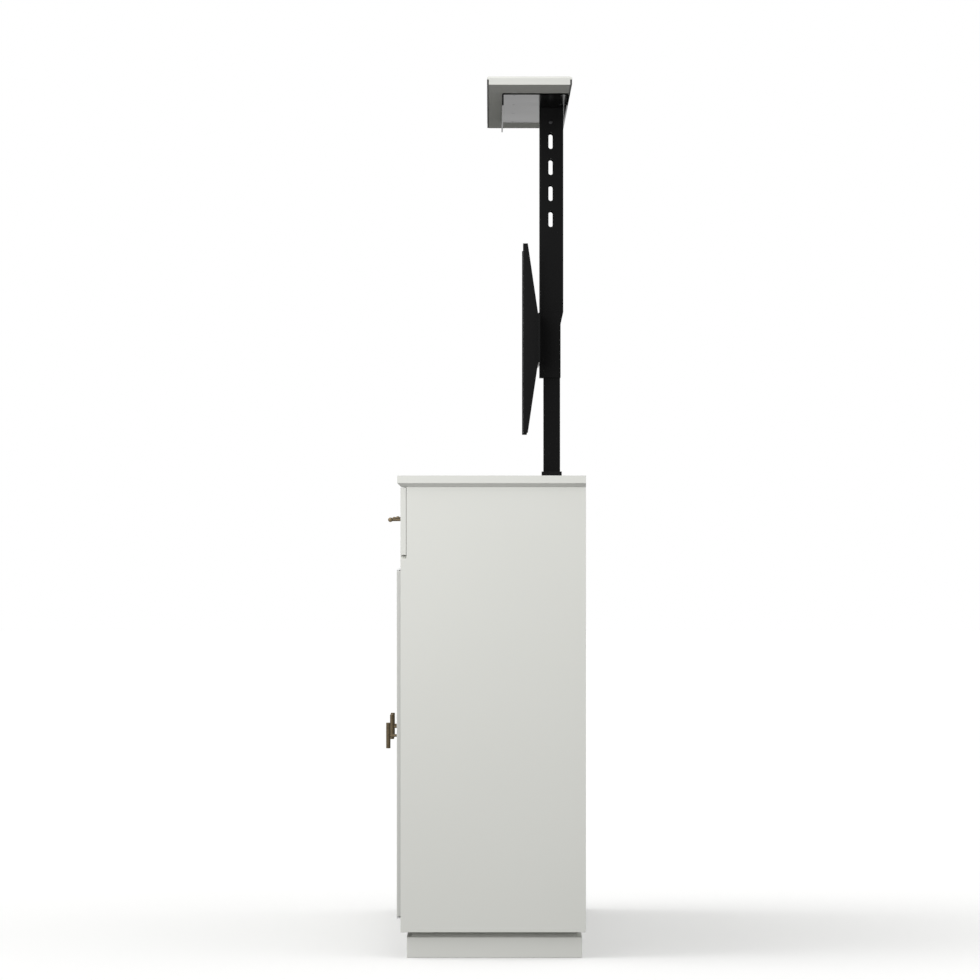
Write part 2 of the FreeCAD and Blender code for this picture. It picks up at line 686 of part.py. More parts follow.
def power_inlet():
    """Panel inlet: body through the back panel, flange outside, recess with three blades."""
    z = z_floor + INLET_HEIGHT
    y_out = y_back + PANEL
    body = block((-SERVICE_X - INLET_WIDTH / 2, -SERVICE_X + INLET_WIDTH / 2),
                 (y_out - INLET_DEPTH, y_out), (z - INLET_TALL / 2, z + INLET_TALL / 2))
    flange = block((-SERVICE_X - INLET_FLANGE_WIDTH / 2, -SERVICE_X + INLET_FLANGE_WIDTH / 2),
                   (y_out, y_out + INLET_FLANGE_THICKNESS),
                   (z - INLET_FLANGE_TALL / 2, z + INLET_FLANGE_TALL / 2))
    y_floor = y_out - INLET_DEPTH + INLET_WALL
    half = INLET_WIDTH / 2 - INLET_WALL
    recess = block((-SERVICE_X - half, -SERVICE_X + half), (y_floor, y_out + INLET_FLANGE_THICKNESS),
                   (z - INLET_TALL / 2 + INLET_WALL, z + INLET_TALL / 2 - INLET_WALL))
    blades = []
    for place in (-1, 0, 1):
        x = -SERVICE_X + place * BLADE_PITCH
        rise = z + (BLADE_RISE if place == 0 else -BLADE_RISE)
        blades.append(block((x - BLADE_WIDTH / 2, x + BLADE_WIDTH / 2), (y_floor, y_out - BLADE_RECESS),
                            (rise - BLADE_TALL / 2, rise + BLADE_TALL / 2)))
    return body.fuse(flange).cut(recess).fuse(blades).removeSplitter()


# ---------------------------------------------------------------- lift: turning pieces
def involute_gear(teeth, thickness, x, z, phase):
    """Spur gear with involute teeth, thinned by GEAR_BACKLASH, turned by phase."""
    pitch = GEAR_MODULE * teeth / 2
    pressure = math.radians(PRESSURE_ANGLE)
    base = pitch * math.cos(pressure)
    tip = pitch + GEAR_MODULE
    root = pitch - 1.25 * GEAR_MODULE
    roll = math.tan(pressure) - pressure
    half_tooth = math.pi / (2 * teeth) - GEAR_BACKLASH / (2 * pitch) + roll
    flank = []
    for step in range(FLANK_STEPS + 1):
        radius = max(base, root) + (tip - max(base, root)) * step / FLANK_STEPS
        angle = math.sqrt(max(0.0, (radius / base) ** 2 - 1))
        flank.append((radius, half_tooth - (angle - math.atan(angle))))
    if root < base:
        flank.insert(0, (root, flank[0][1]))
    points = []
    for tooth in range(teeth):
        middle = phase + 2 * math.pi * tooth / teeth
        sides = [(r, middle - a) for r, a in flank] + [(r, middle + a) for r, a in reversed(flank)]
        points += [Vector(x + r * math.cos(a), y_col + r * math.sin(a), z) for r, a in sides]
    return Part.Face(Part.makePolygon(points + points[:1])).extrude(Vector(0, 0, thickness))


def gear_z():
    return z_plate + GEARBOX_WALL + (GEARBOX_HEIGHT - 2 * GEARBOX_WALL - GEAR_FACE) / 2


def motor_pinion():
    """Pinion with its shaft up into the gearmotor; a gap of it faces a tooth of the screw gear."""
    phase = math.pi - math.pi / PINION_TEETH
    gear = involute_gear(PINION_TEETH, GEAR_FACE, x_motor, gear_z(), phase)
    shaft = rod((x_motor, y_col, gear_z()), z_column + NUT_HEIGHT - gear_z(), PINION_SHAFT_DIAMETER,
                (0, 0, 1))
    return gear.fuse(shaft).removeSplitter()


def drive_screw():
    """Stands in the gearbox on its own gear and turns the hollow screw that slides along it."""
    start = z_plate + GEARBOX_WALL + MOVING_GAP
    length = z_middle + 2 * NUT_HEIGHT - start
    gear = involute_gear(SCREW_GEAR_TEETH, GEAR_FACE, 0, gear_z(), 0)
    return gear.fuse(rod((0, y_col, start), length, SCREW_DIAMETER, (0, 0, 1))).removeSplitter()


def hollow_screw():
    length = z_inner + 2 * NUT_HEIGHT - z_hollow
    bore = rod((0, y_col, z_hollow), length, HOLLOW_BORE, (0, 0, 1))
    body = rod((0, y_col, z_hollow + MOVING_GAP), length - MOVING_GAP, HOLLOW_DIAMETER, (0, 0, 1))
    flange = rod((0, y_col, z_hollow + MOVING_GAP), SCREW_FLANGE - MOVING_GAP,
                 HOLLOW_FLANGE_DIAMETER, (0, 0, 1))
    return body.fuse(flange).cut(bore).removeSplitter()


def nut(width, depth, z, screw_diameter):
    """Plastic nut block that fills the bottom end of a tube."""
    body = block((-width / 2 + TUBE_WALL, width / 2 - TUBE_WALL),
                 (y_col - depth / 2 + TUBE_WALL, y_col + depth / 2 - TUBE_WALL), (z, z + NUT_HEIGHT))
    return body.cut(rod((0, y_col, z), NUT_HEIGHT, screw_diameter + 2 * SCREW_RUNNING_GAP, (0, 0, 1)))


# ---------------------------------------------------------------- lift: middle stage
def middle_tube():
    return tube(middle_width, middle_depth, TUBE_WALL, (z_middle, z_middle_top))


def collar():
    """Cap on the middle tube; it overhangs the tube and lands on the outer tube."""
    width = middle_width + 2 * COLLAR_LIP
    depth = middle_depth + 2 * COLLAR_LIP
    cap = block((-width / 2, width / 2), (y_col - depth / 2, y_col + depth / 2),
                (z_collar, z_collar_top))
    seat = block((-middle_width / 2, middle_width / 2),
                 (y_col - middle_depth / 2, y_col + middle_depth / 2), (z_collar, z_middle_top))
    pass_x = INNER_WIDTH / 2 + STAGE_GAP
    pass_y = INNER_DEPTH / 2 + STAGE_GAP
    passage = block((-pass_x, pass_x), (y_col - pass_y, y_col + pass_y), (z_middle_top, z_collar_top))
    return cap.cut(seat).cut(passage)


# ---------------------------------------------------------------- lift: inner stage
def inner_tube():
    return tube(INNER_WIDTH, INNER_DEPTH, TUBE_WALL, (z_inner, z_tube_top))


def crossbar_bolt_points():
    return [(a * mast_inner / 2, z_screen + b * CROSSBAR_HEIGHT / 4) for a in (-1, 1) for b in (-1, 1)]


def tube_spacer():
    """Plate welded between the mast's web and the inner tube."""
    return block((-SPACER_WIDTH / 2, SPACER_WIDTH / 2), (y_web, y_col - INNER_DEPTH / 2),
                 (z_tube_top - SPACER_HEIGHT, z_tube_top))


def mast_channel():
    """Channel open to the rear, with round-ended slots through both flanges."""
    y_rear_edge = y_mast + MAST_DEPTH
    shell = block((-mast_outer, mast_outer), (y_mast, y_rear_edge), (z_mast, z_mast_top))
    bends = [edge for edge in edges_at(shell, "y", y_mast) if abs(edge.CenterOfMass.x) > mast_inner]
    shell = shell.makeFillet(MAST_BEND, bends)
    shell = shell.cut(block((-mast_inner, mast_inner), (y_web, y_rear_edge),
                            (z_mast, z_mast_top)))
    relief = MAST_DEPTH - CHEEK_DEPTH
    low = block((-mast_outer, mast_outer), (y_rear_edge - relief, y_rear_edge),
                (z_mast, z_cheek_top))
    shell = shell.cut(low)
    width = 2 * mast_outer
    for step in range(SLOTS):
        centre = (-mast_outer, y_slot, z_mast_top - SLOT_FROM_TOP - step * SLOT_PITCH)
        shell = shell.cut(slot(centre, SLOT_LENGTH, SLOT_WIDTH, width, (0, 0, 1), (1, 0, 0)))
    hole_z = z_mast_top - HEAD_SCREW_FROM_TOP
    shell = shell.cut(rod((-mast_outer, y_slot, hole_z), width, HEAD_SCREW_DIAMETER, (1, 0, 0)))
    for x, z in crossbar_bolt_points():
        shell = shell.cut(rod((x, y_mast, z), MAST_SHEET, BOLT_DIAMETER, (0, 1, 0)))
    return shell


def mast_cheek(side):
    """Stiffening plate outside one flange, narrower than the mast, with a slanted shoulder."""
    outline = [(y_mast, z_mast), (y_mast + CHEEK_DEPTH, z_mast),
               (y_mast + CHEEK_DEPTH, z_cheek_top - CHEEK_SLANT), (y_mast + MAST_DEPTH, z_cheek_top),
               (y_mast, z_cheek_top)]
    x = mast_outer if side > 0 else -mast_outer - MAST_SHEET
    points = [Vector(x, y, z) for y, z in outline]
    return Part.Face(Part.makePolygon(points + points[:1])).extrude(Vector(MAST_SHEET, 0, 0))


def tray_screw_points():
    reach = TRAY_LENGTH / 2 - TRAY_FLANGE
    y_rear_tray = y_col + TRAY_REAR_REACH
    rows = (y_rear_tray - TRAY_DEPTH + TRAY_FLANGE, y_rear_tray - TRAY_FLANGE / 2)
    steps = [-reach + 2 * reach * step / (TRAY_SCREWS_PER_ROW - 1)
             for step in range(TRAY_SCREWS_PER_ROW)]
    return [(x, y) for y in rows for x in steps]


def head_bolt_points():
    return [(side * (mast_inner - HEAD_EAR / 3), y_col) for side in (-1, 1)]


def lid_tray():
    """Folded steel tray under the lid, its two long edges bent down."""
    y = (y_col + TRAY_REAR_REACH - TRAY_DEPTH, y_col + TRAY_REAR_REACH)
    half = TRAY_LENGTH / 2
    outer = block((-half, half), y, (z_lid - TRAY_FLANGE, z_lid))
    bends = [edge for edge in edges_at(outer, "z", z_lid) if abs(edge.CenterOfMass.x) < half / 2]
    outer = outer.makeFillet(TRAY_BEND, bends)
    inner = block((-half, half), (y[0] + TRAY_SHEET, y[1] - TRAY_SHEET),
                  (z_lid - TRAY_FLANGE, z_lid - TRAY_SHEET))
    tray = outer.cut(inner)
    for x, y_screw in tray_screw_points():
        tray = tray.cut(rod((x, y_screw, z_lid - TRAY_SHEET), TRAY_SHEET, LID_SCREW_DIAMETER, (0, 0, 1)))
        tray = tray.cut(countersink(x, y_screw))
    for x, y_bolt in head_bolt_points():
        tray = tray.cut(rod((x, y_bolt, z_lid - TRAY_SHEET), TRAY_SHEET, BOLT_DIAMETER, (0, 0, 1)))
    return tray


def mast_head():
    """Bracket in the top of the mast: a plate under the tray and two ears down the flanges."""
    y = (y_web, y_mast + MAST_DEPTH)
    bottom = z_mast_top - HEAD_EAR
    outer = block((-mast_inner, mast_inner), y, (bottom, z_mast_top))
    inner = block((-mast_inner + TRAY_SHEET, mast_inner - TRAY_SHEET), y,
                  (bottom, z_mast_top - TRAY_SHEET))
    hole = rod((-mast_inner, y_slot, z_mast_top - HEAD_SCREW_FROM_TOP), 2 * mast_inner,
               HEAD_SCREW_DIAMETER, (1, 0, 0))
    head = outer.cut(inner).cut(hole)
    for x, y_bolt in head_bolt_points():
        head = head.cut(rod((x, y_bolt, z_mast_top - TRAY_SHEET), TRAY_SHEET, BOLT_DIAMETER,
                            (0, 0, 1)))
    return head


def lid():
    x = x_opening - LID_GAP
    y = (y_opening_front + LID_GAP, y_opening_rear - LID_GAP)
    board = eased(block((-x, x), y, (z_lid, z_lid + LID_THICKNESS)), LID_CORNER)
    holes = [(x_screw, y_screw, LID_SCREW_DIAMETER) for x_screw, y_screw in tray_screw_points()]
    holes += [(x_bolt, y_bolt, BOLT_DIAMETER) for x_bolt, y_bolt in head_bolt_points()]
    for x_hole, y_hole, diameter in holes:
        board = board.cut(rod((x_hole, y_hole, z_lid), LID_THICKNESS / 2, diameter, (0, 0, 1)))
    return board


def crossbar():
    """Flat plate across the front of the mast, its edges eased."""
    half = CROSSBAR_LENGTH / 2
    plate = block((-half, half), (y_crossbar, y_mast), (z_crossbar, z_crossbar + CROSSBAR_HEIGHT))
    plate = plate.makeFillet(CROSSBAR_EDGE, edges_at(plate, "y", y_crossbar))
    for x, z in crossbar_bolt_points() + arm_bolt_points():
        plate = plate.cut(rod((x, y_crossbar, z), CROSSBAR_DEPTH, BOLT_DIAMETER, (0, 1, 0)))
    return plate


def arm_bolt_points():
    return [(side * SCREEN_PITCH / 2, z_screen + rise * CROSSBAR_HEIGHT / 4)
            for side in (-1, 1) for rise in (-1, 1)]


def screen_arm(side):
    """Folded upright with a flat front for the screen; its flanges taper to both ends."""
    x = side * SCREEN_PITCH / 2
    half = arm_reach
    outline = [(y_arm, z_screen - half), (y_arm + ARM_END_DEPTH, z_screen - half),
               (y_crossbar, z_crossbar), (y_crossbar, z_crossbar + CROSSBAR_HEIGHT),
               (y_arm + ARM_END_DEPTH, z_screen + half), (y_arm, z_screen + half)]
    points = [Vector(x - ARM_WIDTH / 2, y, z) for y, z in outline]
    body = Part.Face(Part.makePolygon(points + points[:1])).extrude(Vector(ARM_WIDTH, 0, 0))
    bends = [edge for edge in edges_at(body, "y", y_arm) if edge.CenterOfMass.x != x]
    bends = [edge for edge in bends if edge.Length > half]
    body = body.makeFillet(ARM_BEND, bends)
    hollow = block((x - ARM_WIDTH / 2 + ARM_SHEET, x + ARM_WIDTH / 2 - ARM_SHEET),
                   (y_arm + ARM_SHEET, y_crossbar), (z_screen - half, z_screen + half))
    arm = body.cut(hollow)
    bridge = block((x - ARM_WIDTH / 2, x + ARM_WIDTH / 2), (y_crossbar - ARM_SHEET, y_crossbar),
                   (z_crossbar, z_crossbar + CROSSBAR_HEIGHT))
    arm = arm.fuse(bridge).removeSplitter()
    for rise in (-1, 1):
        z = z_screen + rise * SCREEN_PITCH / 2
        arm = arm.cut(rod((x, y_arm, z), ARM_SHEET, SCREEN_HOLE_DIAMETER, (0, 1, 0)))
        for row in range(ARM_SLOTS):
            z_slot = z_screen + rise * (SCREEN_PITCH / 4 + row * (SCREEN_PITCH / 4 - ARM_DEPTH) / ARM_SLOTS)
            arm = arm.cut(slot((x, y_arm, z_slot), ARM_WIDTH / 2, SCREEN_HOLE_DIAMETER, ARM_SHEET,
                               (1, 0, 0), (0, 1, 0)))
    for x_bolt, z_bolt in arm_bolt_points():
        arm = arm.cut(rod((x_bolt, y_crossbar - ARM_SHEET, z_bolt), ARM_SHEET, BOLT_DIAMETER,
                          (0, 1, 0)))
    return arm


def lift_bolts():
    """Bolts through crossbar and mast, arms and crossbar, tray and lid."""
    bolts = []

    def bolt(x, z, y_head, length):
        shank = rod((x, y_head, z), length, BOLT_DIAMETER, (0, 1, 0))
        cap = rod((x, y_head - BOLT_HEAD_HEIGHT, z), BOLT_HEAD_HEIGHT, BOLT_HEAD_DIAMETER, (0, 1, 0))
        bolts.append(shank.fuse(cap).removeSplitter())

    for x, z in crossbar_bolt_points():
        bolt(x, z, y_crossbar, CROSSBAR_DEPTH + MAST_SHEET)
    for x, z in arm_bolt_points():
        bolt(x, z, y_crossbar - ARM_SHEET, ARM_SHEET + CROSSBAR_DEPTH)
    for x, y in head_bolt_points():
        shank = rod((x, y, z_mast_top - TRAY_SHEET), 2 * TRAY_SHEET + LID_THICKNESS / 2,
                    BOLT_DIAMETER, (0, 0, 1))
        cap = rod((x, y, z_mast_top - TRAY_SHEET - BOLT_HEAD_HEIGHT), BOLT_HEAD_HEIGHT,
                  BOLT_HEAD_DIAMETER, (0, 0, 1))
        bolts.append(shank.fuse(cap).removeSplitter())
    return bolts


def countersink(x, y):
    """Cone of a lid screw's head, its wide end flush with the tray's underside."""
    return Part.makeCone(LID_SCREW_HEAD_DIAMETER / 2, LID_SCREW_DIAMETER / 2,
                         LID_SCREW_HEAD_HEIGHT, Vector(x, y, z_mast_top), Vector(0, 0, 1))


def lid_screws():
    screws = []
    for x, y in tray_screw_points():
        shank = rod((x, y, z_mast_top), TRAY_SHEET + LID_THICKNESS / 2, LID_SCREW_DIAMETER, (0, 0, 1))
        screws.append(shank.fuse(countersink(x, y)).removeSplitter())
    return screws


def head_screws():
    """Round-headed screws through the mast's flanges into the head's ears."""
    screws = []
    z = z_mast_top - HEAD_SCREW_FROM_TOP
    for side in (-1, 1):
        out = (side, 0, 0)
        shank = rod((side * (mast_inner - TRAY_SHEET), y_slot, z), TRAY_SHEET + MAST_SHEET,
                    HEAD_SCREW_DIAMETER, out)
        cap = rod((side * mast_outer, y_slot, z), HEAD_SCREW_HEAD_HEIGHT, HEAD_SCREW_HEAD_DIAMETER,
                  out)
        outer_edge = edges_at(cap, "x", side * (mast_outer + HEAD_SCREW_HEAD_HEIGHT))
        cap = cap.makeFillet(HEAD_SCREW_HEAD_HEIGHT / 2, outer_edge)
        screws.append(shank.fuse(cap).removeSplitter())
    return screws


# ---------------------------------------------------------------- write every piece
os.makedirs("parts", exist_ok=True)
save("top_panel", top_panel())
save("side_panel_left", side_panel(-1))
save("side_panel_right", side_panel(1))
save("bottom_panel", bottom_panel())
save("back_panel", back_panel())
save("divider_panel", block((-x_in, x_in), (y_divider, y_divider_rear), (z_floor, z_under)))
save("drawer_board", drawer_board())
save("bottom_rail", bottom_rail())
save("partitions", *[make(index) for make in (lower_partition, upper_partition)
                     for index in range(1, BAYS)])
save("plinth_boards", *plinth_boards())
save("glides", *glides())
save("shelves", *[shelf(bay) for bay in range(BAYS)])
save("shelf_pins", *shelf_pins())
save("pivot_plates", *[plate for bay in range(BAYS) for plate in fixed_pivots(bay)])
save("door_catches", *[catch(bay) for bay in range(BAYS)])
save("drawer_runners", *[runner for bay in range(BAYS) for runner in drawer_runners(bay)])
for bay_index, bay_name in enumerate(bay_names):
    save("door_" + bay_name, door(bay_index))
    save("door_pivots_" + bay_name, *door_pivots(bay_index), strike(bay_index))
    save("door_knob_" + bay_name, knob(knob_x(bay_index), y_door, z_door_middle(), (0, 0, 1)))
    knob_place = drawer_middle(bay_index)
    save("drawer_front_" + bay_name, drawer_front(bay_index))
    save("drawer_box_" + bay_name, drawer_box(bay_index))
    save("drawer_knob_" + bay_name, knob(knob_place[0], y_front, knob_place[1], (1, 0, 0)))

save("lift_base_plate", base_plate())
save("base_bolts", *base_bolts())
save("gearbox_housing", gearbox_housing())
save("lift_motor", motor())
save("motor_pinion", motor_pinion())
save("drive_screw", drive_screw())
save("outer_tube", outer_tube())
save("column_tie", column_tie())
save("control_box", control_box())
save("power_inlet", power_inlet())
save("middle_tube", middle_tube())
save("middle_collar", collar())
save("middle_nut", nut(middle_width, middle_depth, z_middle, SCREW_DIAMETER))
save("hollow_screw", hollow_screw())
save("inner_tube", inner_tube())
save("inner_nut", nut(INNER_WIDTH, INNER_DEPTH, z_inner, HOLLOW_DIAMETER))
save("tube_spacer", tube_spacer())
save("mast_channel", mast_channel())
save("mast_cheeks", mast_cheek(-1), mast_cheek(1))
save("mast_head", mast_head())
save("crossbar", crossbar())
save("screen_arm_left", screen_arm(-1))
save("screen_arm_right", screen_arm(1))
save("lid_tray", lid_tray())
save("lid", lid())
save("lift_fasteners", *lift_bolts(), *lid_screws(), *head_screws())
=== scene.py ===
"""TV lift cabinet with the lift raised: painted boards, black steel lift, aged brass knobs."""
import math

import bpy
from mathutils import Matrix, Vector


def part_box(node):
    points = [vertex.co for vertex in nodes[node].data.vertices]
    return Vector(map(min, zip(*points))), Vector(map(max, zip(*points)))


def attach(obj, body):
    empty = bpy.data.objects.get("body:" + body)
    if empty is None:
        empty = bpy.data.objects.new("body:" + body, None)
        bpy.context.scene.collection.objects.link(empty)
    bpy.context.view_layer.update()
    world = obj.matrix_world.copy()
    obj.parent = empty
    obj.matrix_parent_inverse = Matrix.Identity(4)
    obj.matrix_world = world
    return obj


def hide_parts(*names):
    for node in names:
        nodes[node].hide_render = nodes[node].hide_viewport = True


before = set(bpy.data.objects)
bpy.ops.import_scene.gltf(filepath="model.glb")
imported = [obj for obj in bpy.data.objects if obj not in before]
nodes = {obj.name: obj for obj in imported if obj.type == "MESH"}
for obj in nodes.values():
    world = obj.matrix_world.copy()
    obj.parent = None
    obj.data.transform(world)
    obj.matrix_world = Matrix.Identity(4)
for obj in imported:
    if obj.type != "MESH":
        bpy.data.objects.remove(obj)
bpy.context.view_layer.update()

# ---- Studio
# A white floor that runs out of sight under a white sky. The floor takes the cabinet's soft
# shadow. The camera and reflections see floor and sky brighter than they light the cabinet.
SKY_STRENGTH = 0.96
FLOOR_SIZE = 60.0
FLOOR_SHADE = 0.82
FLOOR_GLOW = 0.11
FLOOR_BOUNCE = 0.05


def any_ray(tree, *kinds):
    """A factor of 1 for rays of any of the named kinds."""
    rays = tree.nodes.new("ShaderNodeLightPath")
    found = rays.outputs[kinds[0]]
    for kind in kinds[1:]:
        either = tree.nodes.new("ShaderNodeMath")
        either.operation = "MAXIMUM"
        tree.links.new(found, either.inputs[0])
        tree.links.new(rays.outputs[kind], either.inputs[1])
        found = either.outputs[0]
    return found


world = bpy.data.worlds.new("studio_sky")
bpy.context.scene.world = world
world.use_nodes = True
tree = world.node_tree
tree.nodes.clear()
sky_out = tree.nodes.new("ShaderNodeOutputWorld")
sky_light = tree.nodes.new("ShaderNodeBackground")
sky_light.inputs["Color"].default_value = (1.0, 1.0, 0.99, 1.0)
sky_light.inputs["Strength"].default_value = SKY_STRENGTH
sky_seen = tree.nodes.new("ShaderNodeBackground")
sky_seen.inputs["Color"].default_value = (1.0, 1.0, 1.0, 1.0)
sky_seen.inputs["Strength"].default_value = 1.0
sky_mix = tree.nodes.new("ShaderNodeMixShader")
tree.links.new(any_ray(tree, "Is Camera Ray", "Is Glossy Ray", "Is Transmission Ray"),
               sky_mix.inputs[0])
tree.links.new(sky_light.outputs[0], sky_mix.inputs[1])
tree.links.new(sky_seen.outputs[0], sky_mix.inputs[2])
tree.links.new(sky_mix.outputs[0], sky_out.inputs["Surface"])

floor_paint = bpy.data.materials.new("studio_floor")
floor_paint.use_nodes = True
tree = floor_paint.node_tree
tree.nodes.clear()
floor_out = tree.nodes.new("ShaderNodeOutputMaterial")
floor_matte = tree.nodes.new("ShaderNodeBsdfDiffuse")
floor_matte.inputs["Color"].default_value = (FLOOR_SHADE, FLOOR_SHADE, FLOOR_SHADE, 1.0)
floor_glow = tree.nodes.new("ShaderNodeEmission")
floor_glow.inputs["Strength"].default_value = FLOOR_GLOW
floor_white = tree.nodes.new("ShaderNodeAddShader")
floor_dull = tree.nodes.new("ShaderNodeBsdfDiffuse")
floor_dull.inputs["Color"].default_value = (FLOOR_BOUNCE, FLOOR_BOUNCE, FLOOR_BOUNCE, 1.0)
floor_mix = tree.nodes.new("ShaderNodeMixShader")
tree.links.new(floor_matte.outputs[0], floor_white.inputs[0])
tree.links.new(floor_glow.outputs[0], floor_white.inputs[1])
tree.links.new(any_ray(tree, "Is Camera Ray", "Is Glossy Ray"), floor_mix.inputs[0])
tree.links.new(floor_dull.outputs[0], floor_mix.inputs[1])
tree.links.new(floor_white.outputs[0], floor_mix.inputs[2])
tree.links.new(floor_mix.outputs[0], floor_out.inputs["Surface"])
bpy.ops.object.select_all(action="DESELECT")
bpy.ops.mesh.primitive_plane_add(size=FLOOR_SIZE, location=(0.0, 0.0, 0.0))
floor = bpy.context.object
floor.name = "studio_floor"
floor.data.materials.append(floor_paint)

# ---- Lamps
# A wide soft sun from the front throws the cabinet's shadow behind it. A round lamp near the
# cabinet's right end lights that end and misses the floor.
SUN_STRENGTH = 0.71
SUN_SPREAD = 45.0
SUN_AIM = (-0.1, 1.0, -1.15)
END_LAMP_POWER = 20.5
END_LAMP_SIZE = 1.2
END_LAMP_PLACE = (2.6, -0.6, 1.5)
END_LAMP_AIM = (-2.0, 0.5, -0.4)


def hang_lamp(lamp, place, aim):
    """Puts a lamp at a place and turns it to shine along a direction."""
    hung = bpy.data.objects.new(lamp.name, lamp)
    bpy.context.scene.collection.objects.link(hung)
    hung.location = place
    hung.rotation_euler = Vector(aim).to_track_quat("-Z", "Y").to_euler()
    return hung


lamp = bpy.data.lights.new("front_sun", "SUN")
lamp.energy = SUN_STRENGTH
lamp.angle = math.radians(SUN_SPREAD)
hang_lamp(lamp, (0.0, 0.0, 0.0), SUN_AIM)
lamp = bpy.data.lights.new("end_lamp", "AREA")
lamp.shape = "DISK"
lamp.size = END_LAMP_SIZE
lamp.energy = END_LAMP_POWER
end_lamp = hang_lamp(lamp, END_LAMP_PLACE, END_LAMP_AIM)
unlit = bpy.data.collections.new("end_lamp_misses")
unlit.objects.link(floor)
end_lamp.light_linking.receiver_collection = unlit
unlit.collection_objects[0].light_linking.link_state = "EXCLUDE"

# ---- Camera
# Level and a little lower than the cabinet's top, square to its right end, with a long lens.
# The shift puts the horizon on its row while the camera stays level.
SENSOR_WIDTH = 36.0
CLIP_END = 100.0
FRAME_PIXELS = 980
CAMERA_X = 13.1335
CAMERA_Y = 0.01237
CAMERA_Z = 0.9645
FOCAL_PIXELS = 5885.0
HORIZON_ROW = 500.0
camera_data = bpy.data.cameras.new("camera")
camera_data.sensor_width = SENSOR_WIDTH
camera_data.lens = SENSOR_WIDTH * FOCAL_PIXELS / FRAME_PIXELS
camera_data.shift_y = (HORIZON_ROW - FRAME_PIXELS / 2) / FRAME_PIXELS
camera_data.clip_end = CLIP_END
camera = bpy.data.objects.new("camera", camera_data)
bpy.context.scene.collection.objects.link(camera)
camera.location = (CAMERA_X, CAMERA_Y, CAMERA_Z)
camera.rotation_euler = (math.radians(90), 0.0, math.radians(90))
bpy.context.scene.camera = camera
bpy.context.scene.view_settings.view_transform = "Standard"


# ---- Painted boards
# Carcass, top, doors and drawer fronts: smooth 12, 18 and 24 mm fibreboard, sprayed a warm
# white in a satin lacquer with a faint orange peel, its edges eased by hand before the last coat.
CLOUD_LOW = 0.3
CLOUD_HIGH = 0.7
RELIEF_HEIGHT = 0.0004
LACQUER = {"low_tone": (0.716, 0.721, 0.684), "high_tone": (0.746, 0.751, 0.716),
           "patch": 2.5, "shine": (0.80, 0.88), "grain": 700.0, "relief": 0.06,
           "eased": 0.0009, "specular": 0.08}


def new_finish(name, low_tone, high_tone, patch, shine, grain, relief, eased, specular):
    """A finish whose tone and shine drift between two values, with a fine relief.

    patch and grain are the noise scales of the drift and of the relief, shine is the range
    of roughness, and eased is the radius that softens the light on sharp edges.
    """
    material = bpy.data.materials.new(name)
    material.use_nodes = True
    tree = material.node_tree
    shader = tree.nodes["Principled BSDF"]
    shader.inputs["Specular IOR Level"].default_value = specular
    place = tree.nodes.new("ShaderNodeTexCoord")
    cloud = tree.nodes.new("ShaderNodeTexNoise")
    cloud.inputs["Scale"].default_value = patch
    cloud.inputs["Detail"].default_value = 5.0
    tone = tree.nodes.new("ShaderNodeMix")
    tone.name = "tone"
    tone.data_type = "RGBA"
    tone.inputs["A"].default_value = (*low_tone, 1.0)
    tone.inputs["B"].default_value = (*high_tone, 1.0)
    gloss = tree.nodes.new("ShaderNodeMapRange")
    gloss.inputs["From Min"].default_value = CLOUD_LOW
    gloss.inputs["From Max"].default_value = CLOUD_HIGH
    gloss.inputs["To Min"].default_value = shine[0]
    gloss.inputs["To Max"].default_value = shine[1]
    fine = tree.nodes.new("ShaderNodeTexNoise")
    fine.name = "fine"
    fine.inputs["Scale"].default_value = grain
    fine.inputs["Detail"].default_value = 2.0
    bump = tree.nodes.new("ShaderNodeBump")
    bump.name = "relief"
    bump.inputs["Strength"].default_value = relief
    bump.inputs["Distance"].default_value = RELIEF_HEIGHT
    edge = tree.nodes.new("ShaderNodeBevel")
    edge.inputs["Radius"].default_value = eased
    edge.samples = 4
    tree.links.new(place.outputs["Object"], cloud.inputs["Vector"])
    tree.links.new(place.outputs["Object"], fine.inputs["Vector"])
    tree.links.new(cloud.outputs["Fac"], tone.inputs["Factor"])
    tree.links.new(tone.outputs["Result"], shader.inputs["Base Color"])
    tree.links.new(cloud.outputs["Fac"], gloss.inputs["Value"])
    tree.links.new(gloss.outputs["Result"], shader.inputs["Roughness"])
    tree.links.new(fine.outputs["Fac"], bump.inputs["Height"])
    tree.links.new(edge.outputs["Normal"], bump.inputs["Normal"])
    tree.links.new(bump.outputs["Normal"], shader.inputs["Normal"])
    return material, tree, shader


def give_finish(material, pieces):
    """Puts one finish all over some pieces, new ones or CAD ones that keep their shape."""
    for piece in pieces:
        piece.data.materials.clear()
        piece.data.materials.append(material)


bays = ("left", "centre", "right")
paint, tree, shader = new_finish("warm_white_paint", **LACQUER)
give_finish(paint, [nodes[name] for name in (
    "top_panel", "side_panel_left", "side_panel_right", "bottom_panel", "back_panel",
    "divider_panel", "drawer_board", "bottom_rail", "partitions", "shelves")])
give_finish(paint, [nodes["drawer_front_" + bay] for bay in bays])


# ---- Doors
# 18 mm fibreboard slabs under the same lacquer. Their long cut edges are painted a shade
# greyer than the faces: painted shade for the shadow they sit in behind the side panels.
# The greyer tone painted on the doors' side edges, as painted shade.
EDGE_SHADE_TONE = (0.595, 0.598, 0.580)


